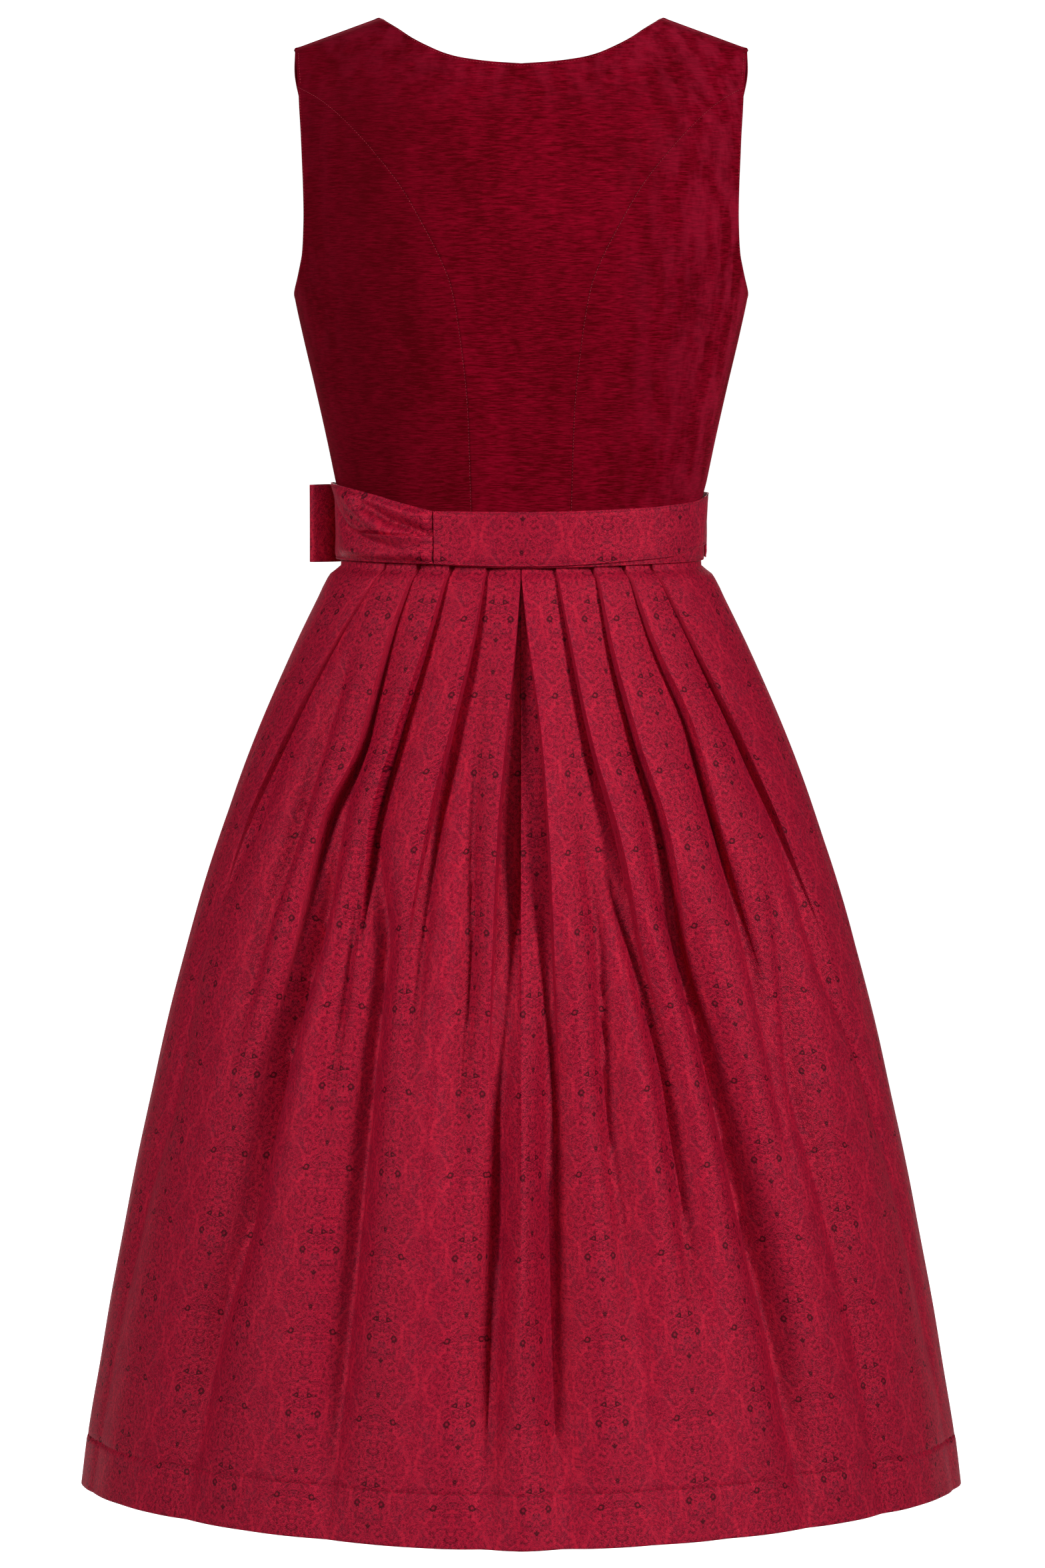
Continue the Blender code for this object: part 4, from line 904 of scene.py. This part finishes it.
def waist_place(angle, z, lift):
    """Places on the waist: the skirt's form below the seam, the figure's above it."""
    low = (z < waist_seam)[..., None]
    form = np.where(low, skirt_form(angle, z), body(angle, z))
    out = np.where(low, outward(skirt_form, angle, z)[0], outward(body, angle, z)[0])
    return form + out * lift[..., None]


def front_rise(low, high, degrees):
    """Height over the waist that grows from low at the sides to high over the apron."""
    away = np.clip(np.minimum(degrees - 90, 270 - degrees), 0, None)
    return (low + (high - low) * ramp((away - 6) / 22)) * mm


def sash_band(name, rows, lift, ends=0.13, fold=None, levels=None):
    """Doubled strip round the waist. fold adds height by angle and place up the strip."""
    start, end = rows[0][0] + ends, rows[-1][0] - ends
    length = math.radians(end - start) * waist_radius
    rim = np.array([0.0, 0.3, 0.8, 1.5]) * mm / length
    inner = np.linspace(rim[-1], 1 - rim[-1], int(length / (1.6 * mm)))[1:-1]
    shares = np.concatenate([rim, inner, 1 - rim[::-1]])
    degrees = start + (end - start) * shares
    bottom = curve([(a, low) for a, top, low in rows], degrees) * mm
    top = curve([(a, top) for a, top, low in rows], degrees) * mm
    v = crowded(0.038, 1.3 * mm) if levels is None else levels(degrees)
    v = np.broadcast_to(v if v.ndim == 2 else v[:, None], (len(v), len(degrees)))
    z = bottom + (top - bottom) * v
    degrees = np.broadcast_to(degrees, z.shape)
    high = front_rise(*lift, degrees) if isinstance(lift, tuple) else lift * mm + 0 * degrees
    edge = np.minimum(z - bottom, top - z)
    run = line_length(waist_place(np.radians(degrees), z, high).swapaxes(0, 1)).T
    side = np.minimum(run, run[:, -1:] - run)
    rim = edge_roll(np.minimum(edge, side), 0.6 * mm, 0.6 * mm)
    soft = 0.22 * mm * np.sin(run * 105 + z * 160) * np.sin(run * 47 - z * 70 + 1)
    soft += 0.20 * mm * np.sin(run * 190 + 3 * np.sin(z * 90)) * bell(edge, 9 * mm)
    stitch = bell(edge - stitch_in, 0.45 * mm)
    inside = ramp((edge - 1.5 * mm) / (3 * mm))
    relief = 0.25 * mm * inside + soft * inside - 0.16 * mm * stitch - rim
    if fold is not None:
        high = high + fold(degrees, v)
    angle = np.radians(degrees)
    outer = waist_place(angle, z, high + band_wall + relief)
    inner = waist_place(angle, z, high + np.minimum(rim, 0.4 * mm))
    item = shell(name, outer, inner, np.stack([run + start * mm, z - 10 * mm], -1))
    dressed(item, jacquard, name.replace("jacquard_", ""))
    # Edge stitching on the fifth row of points from each edge, just off the face
    edges = [outer[row, 5:-5] + (outer[row, 5:-5] - inner[row, 5:-5]) * 0.08 for row in (4, -5)]
    thread = stitches(name + "_thread", edges, 2.9 * mm, 2.2 * mm, 0.38 * mm, dark_thread)


def pleat_rows(degrees):
    """Places up the wide tie, with a row of points along its pleat's edge to keep it crisp."""
    crease = np.interp(degrees, (27, 40, 50, 60, 75, 140), (0.52, 0.455, 0.425, 0.41, 0.40, 0.42))
    below = crowded(0.020, 1.2 * mm)[:, None] * crease
    above = crease + 0.004 + (1 - crease - 0.004) * crowded(0.020, 1.2 * mm)[:, None]
    return np.concatenate([below, above])


# Its folds, top to bottom: angles, places up the tie, heights, and widths above and below
tie_folds = [
    ((27, 29, 31, 36, 41, 45, 49, 55, 61),
     (0.56, 0.57, 0.58, 0.62, 0.65, 0.69, 0.745, 0.83, 0.92),
     (-0.8, -3.2, -5.2, -5.8, -5.8, -5.4, -4.6, -2.4, 0.0), 0.12, 0.06),
    ((36, 41, 45, 49, 54, 60, 68), (0.45, 0.47, 0.50, 0.57, 0.665, 0.765, 0.88),
     (0.0, 2.0, 3.4, 3.6, 3.4, 2.2, 0.0), 0.08, 0.10),
    ((36, 43, 49, 56, 64, 72, 80), (0.235, 0.27, 0.31, 0.355, 0.435, 0.60, 0.75),
     (0.0, -3.0, -4.8, -5.4, -5.0, -3.0, 0.0), 0.07, 0.12)]


def tie_pleat(degrees, v):
    """The tie stands off the band, puffed up into folds that close in at the join."""
    rows = len(v) // 2
    away = v - v[rows - 1][None, :]
    lower = np.arange(len(v))[:, None] < rows
    fold = 5.4 * ramp((degrees - 27) / 4) * ramp((84 - degrees) / 24)
    for stops, places, heights, above, below in tie_folds:
        gap = v - np.interp(degrees, stops, places)
        fold = fold + np.interp(degrees, stops, heights) * bell(
            gap, np.where(gap > 0, above, below))
    # The pleat's lip stands over a narrow gap
    lip = ramp((60 - degrees) / 8) * ramp((degrees - 26) / 3)
    fold = fold + lip * np.where(lower, 2.2 * bell(away, 0.13), -1.6 * bell(away, 0.05))
    return fold * mm * ramp(v / 0.16) * ramp((1 - v) / 0.12)


def tied(degrees, v):
    """Creases that run from the bow's knot along the tie."""
    near = ramp((degrees - 100) / 40)
    return 0.5 * mm * near * np.sin(v * 19 + 1.0) + tie_pleat(degrees, v)


def tied_right(degrees, v):
    near = ramp((185 - degrees) / 45)
    return 0.5 * mm * near * np.sin(v * 17 + 0.4)


sash_band("jacquard_under_band", under_rows, 0.6, ends=0.0)
sash_band("jacquard_outer_band", outer_rows, 2.4)
sash_band("jacquard_left_tie", left_tie_rows, (2.4, 6.5), fold=tied, levels=pleat_rows)
sash_band("jacquard_apron_band", apron_band_rows, (0.6, 4.6))
sash_band("jacquard_right_tie", right_tie_rows, (2.4, 6.5), fold=tied_right)

# Bow: the two ties end in a bow at the wearer's front left, with a knot wrapped round the
# middle, a loop to each side that is a flat tube of doubled cloth, and two hanging tails
# with slanted ends.
knot_degrees, knot_top, knot_foot = 140, -339.0 * mm, -380.5 * mm
knot_wide, knot_deep, knot_tall = 30 * mm, 18 * mm, 44 * mm
knot_angle = np.array([math.radians(knot_degrees)])
knot_lift = np.array([6.5 * mm + band_wall + 0.6 * mm])
knot_base = sum(waist_place(knot_angle, np.array([z]), knot_lift)[0]
                for z in (knot_top, knot_foot)) / 2
knot_out = outward(skirt_form, knot_angle, np.array([waist_seam]))[0][0]
knot_along = np.array([knot_out[1], -knot_out[0], 0])
knot_middle = knot_base + knot_out * knot_deep / 2


def tube(name, rings, flat):
    """Closed skin from rings of points, its ends closed by their middles."""
    rows, columns = rings.shape[:2]
    index = np.arange(rows * columns).reshape(rows, columns)
    index = np.concatenate([index, index[:, :1]], 1)
    faces = np.stack([index[:-1, :-1], index[:-1, 1:], index[1:, 1:], index[1:, :-1]], -1)
    faces = faces.reshape(-1, 4).tolist()
    count = rows * columns
    first, last = index[0].tolist(), index[-1].tolist()
    faces += [[b, a, count] for a, b in zip(first, first[1:])]
    faces += [[a, b, count + 1] for a, b in zip(last, last[1:])]
    points = np.concatenate([rings.reshape(-1, 3), [rings[0].mean(0), rings[-1].mean(0)]])
    flat = np.concatenate([flat.reshape(-1, 2), flat[0].mean(0)[None], flat[-1].mean(0)[None]])
    return cloth_mesh(name, points, faces, flat)


tilt = 0.47 * math.pi * np.linspace(-1, 1, 44)[:, None]
turn = np.linspace(0, 2 * math.pi, 65)[None, :-1]
narrow = np.cos(tilt) ** 0.45
wide = knot_wide / 2 * narrow * signed_power(np.cos(turn), 0.6)
deep = knot_deep / 2 * narrow * signed_power(np.sin(turn), 0.6)
rise = knot_tall / 2 * signed_power(np.sin(tilt), 0.7) + 0 * turn
# Folds of the wrap, which run over the knot from top to bottom and close in at its ends
folds = 0.7 * mm * np.sin(wide / (knot_wide / 2) * 7.5 + rise * 60 + 0.7) * np.cos(tilt) ** 0.3
deep = deep - np.abs(folds) * np.sign(np.sin(turn)) * (np.abs(np.sin(turn)) > 0.2) * 0.8
rings = (knot_middle + knot_along * wide[..., None] + knot_out * deep[..., None]
         + np.array([0, 0, 1]) * rise[..., None])
knot_run = np.arange(1, 65) * 0.0013
bow_knot = tube("jacquard_bow_knot", rings, np.stack([knot_run[None] + 0 * rise, rise], -1))

loop_wall, loop_tall = 1.2 * mm, 57 * mm


def bow_loop(name, start, end, sway):
    """Tube bent back at its far end and pinched at the knot, open above and below."""
    along = (end - start) / np.linalg.norm(end - start)
    across = np.array([-along[1], along[0], 0])
    length = np.linalg.norm(end - start)
    turn = math.pi * (np.arange(72) + 0.5) / 36
    share = 0.5 - 0.5 * np.cos(turn)
    share = (share - share.min()) / (share.max() - share.min())
    swell = np.sqrt(np.maximum(np.sin(math.pi * share ** 1.5), 0))
    flare = ramp(share * 1.6)
    bottom, top = (-380 - 10 * flare) * mm, (-344 + 11 * flare) * mm
    v = crowded(loop_tall, 1.6 * mm)[:, None]
    z = bottom + (top - bottom) * v
    # Creases fan out from the knot and fade towards the far end
    crease = 0.9 * mm * np.sin(v * 15 + 0.8 + sway) * (1 - ramp(share * 1.25)) * np.sin(turn)
    bulge = 0.8 * mm * np.sin(math.pi * v) * ramp(share * 2)
    side = np.minimum(1, np.abs(np.sin(turn)) ** 0.5 * 1.1) * np.sign(np.sin(turn))
    rolled = edge_roll((0.5 - np.abs(v - 0.5)) * loop_tall, 0.6 * mm, 0.5 * mm)
    walls = []
    for wall, roll in ((0.0, -1), (loop_wall, 1)):
        half = (3.2 + 4.6 * swell) * mm - wall + roll * rolled * 0.8
        run = wall + (length - 2 * wall) * share
        offset = half * side + crease - 0.12 * np.sign(np.sin(turn)) * bulge
        walls.append(start + along * (run + 0 * v)[..., None] + across * offset[..., None]
                     + np.array([0, 0, 1]) * z[..., None])
    run = line_length(walls[0].swapaxes(0, 1)).T
    item = shell(name, walls[0], walls[1], np.stack([run, z], -1), closed=True)
    return item, 2 * length


flat_middle = knot_middle * (1, 1, 0)
reach = knot_along * (knot_wide / 2 + seam_gap)
side_loop, side_loop_cut = bow_loop("jacquard_bow_loop_side", flat_middle - reach,
                                    np.array([155.3, -36, 0]) * mm, 0.0)
front_loop, front_loop_cut = bow_loop("jacquard_bow_loop_front", flat_middle + reach,
                                      np.array([-26, -133, 0]) * mm, 1.4)
tail_wide, tail_top = 54 * mm, -382 * mm


def bow_tail(name, side, end, lean, slant, start_lift, end_lift, wave):
    """Loose end: out of the knot, folded narrow there, then over the apron."""
    across = crowded(tail_wide, 1.5 * mm) - 0.5
    drop = crowded(0.42, 3.5 * mm)[:, None]
    fallen = ramp(drop * 3.5)
    z = tail_top + ((end + slant * across) * mm - tail_top) * drop
    span = 22 * mm + (tail_wide - 22 * mm) * fallen
    angle = np.radians(knot_degrees + (side + lean * drop - knot_degrees) * fallen) + 0 * across
    place = angle + across * span / outward(skirt_form, angle, z)[1]
    ripple = 2.5 * mm * np.sin(across * 7 + drop * 5)
    height = (start_lift + (end_lift - start_lift) * fallen) * mm
    height = height + (curve(apron_waves, z / mm) * mm + ripple) * fallen
    pinch = 1.3 * mm * np.sin(across * 26 + wave) * bell(drop, 0.16)
    sway = 0.8 * mm * np.sin(across * 5.2 + drop * 16 + wave) * ramp(drop * 5)
    form, out = skirt_form(place, z), outward(skirt_form, place, z)[0]
    edge = np.minimum((0.5 - np.abs(across)) * tail_wide, (1 - drop) * 0.40)
    rim = edge_roll(edge, 0.6 * mm, 0.5 * mm)
    stitch = 0.16 * mm * bell(edge - stitch_in, 0.45 * mm)
    high = height + np.abs(pinch) + sway
    outer = form + out * (high + band_wall - rim - stitch)[..., None]
    inner = form + out * (high + np.minimum(rim, 0.4 * mm))[..., None]
    flat = np.stack([0 * z + across * tail_wide, z], -1)
    return shell(name, outer, inner, flat)


front_tail = bow_tail("jacquard_tail_front", 148, -800, 4, 22, 15.6, 6.6, 0.4)
side_tail = bow_tail("jacquard_tail_side", 136, -760, -5, -22, 17.8, 13.1, 1.9)
for item, node, size, held in ((bow_knot, "bow_knot", (0.040, 0.064), "folded"),
                               (side_loop, "bow_loop_side", (0.056, side_loop_cut), "folded"),
                               (front_loop, "bow_loop_front", (0.056, front_loop_cut), "folded"),
                               (front_tail, "tail_front", (0.054, 0.420), "hung"),
                               (side_tail, "tail_side", (0.054, 0.380), "hung")):
    dressed(item, jacquard, node)

# Buttons: six domed buttons with an old pewter look, each sewn by its shank to the lap in
# front. Their row starts at the neck and leaves the last two eighths of the lap free.
pewter, tree, metal = new_material("pewter", Metallic=1.0, Roughness=0.38)
place = add(tree, "ShaderNodeTexCoord").outputs["Object"]
dark = add(tree, "ShaderNodeTexNoise", Vector=place, Scale=700.0, Detail=3.0).outputs["Fac"]
link(tree, tint(tree, dark, (0.16, 0.15, 0.14, 1), (0.55, 0.53, 0.50, 1)),
     metal.inputs["Base Color"])
button_pitch = (neck_foot - bodice_foot) / 8
# Height over the lap and radius of each ring, from the shank's side to the top of the dome
button_profile = [
    (0.0, 5.2), (0.5, 5.5), (1.0, 5.5), (1.3, 5.2), (1.3, 4.7), (1.7, 4.3), (2.6, 3.6), (3.3, 2.6),
    (3.8, 1.3), (3.95, 0.3)]
turn = np.linspace(0, 2 * math.pi, 25)[:-1, None]
right = np.array([1.0, 0, 0])
for number in range(6):
    level = neck_foot - (number + 0.5) * button_pitch
    ends = level + np.array([-0.5, 0.5]) * button_pitch
    low, high = body(np.array([math.pi, math.pi]), ends)
    up = (high - low) / np.linalg.norm(high - low)
    outside = np.cross(right, up)
    base = body(np.array([math.pi]), np.array([level]))[0] + outside * 0.7 * mm
    rings = np.stack([base + outside * (height * mm)
                      + (right * np.cos(turn) + up * np.sin(turn)) * radius * mm
                      for height, radius in button_profile])
    button = tube("pewter_button_%d" % (number + 1), rings, rings[..., :2])
    dressed(button, pewter, "button_%d" % (number + 1))
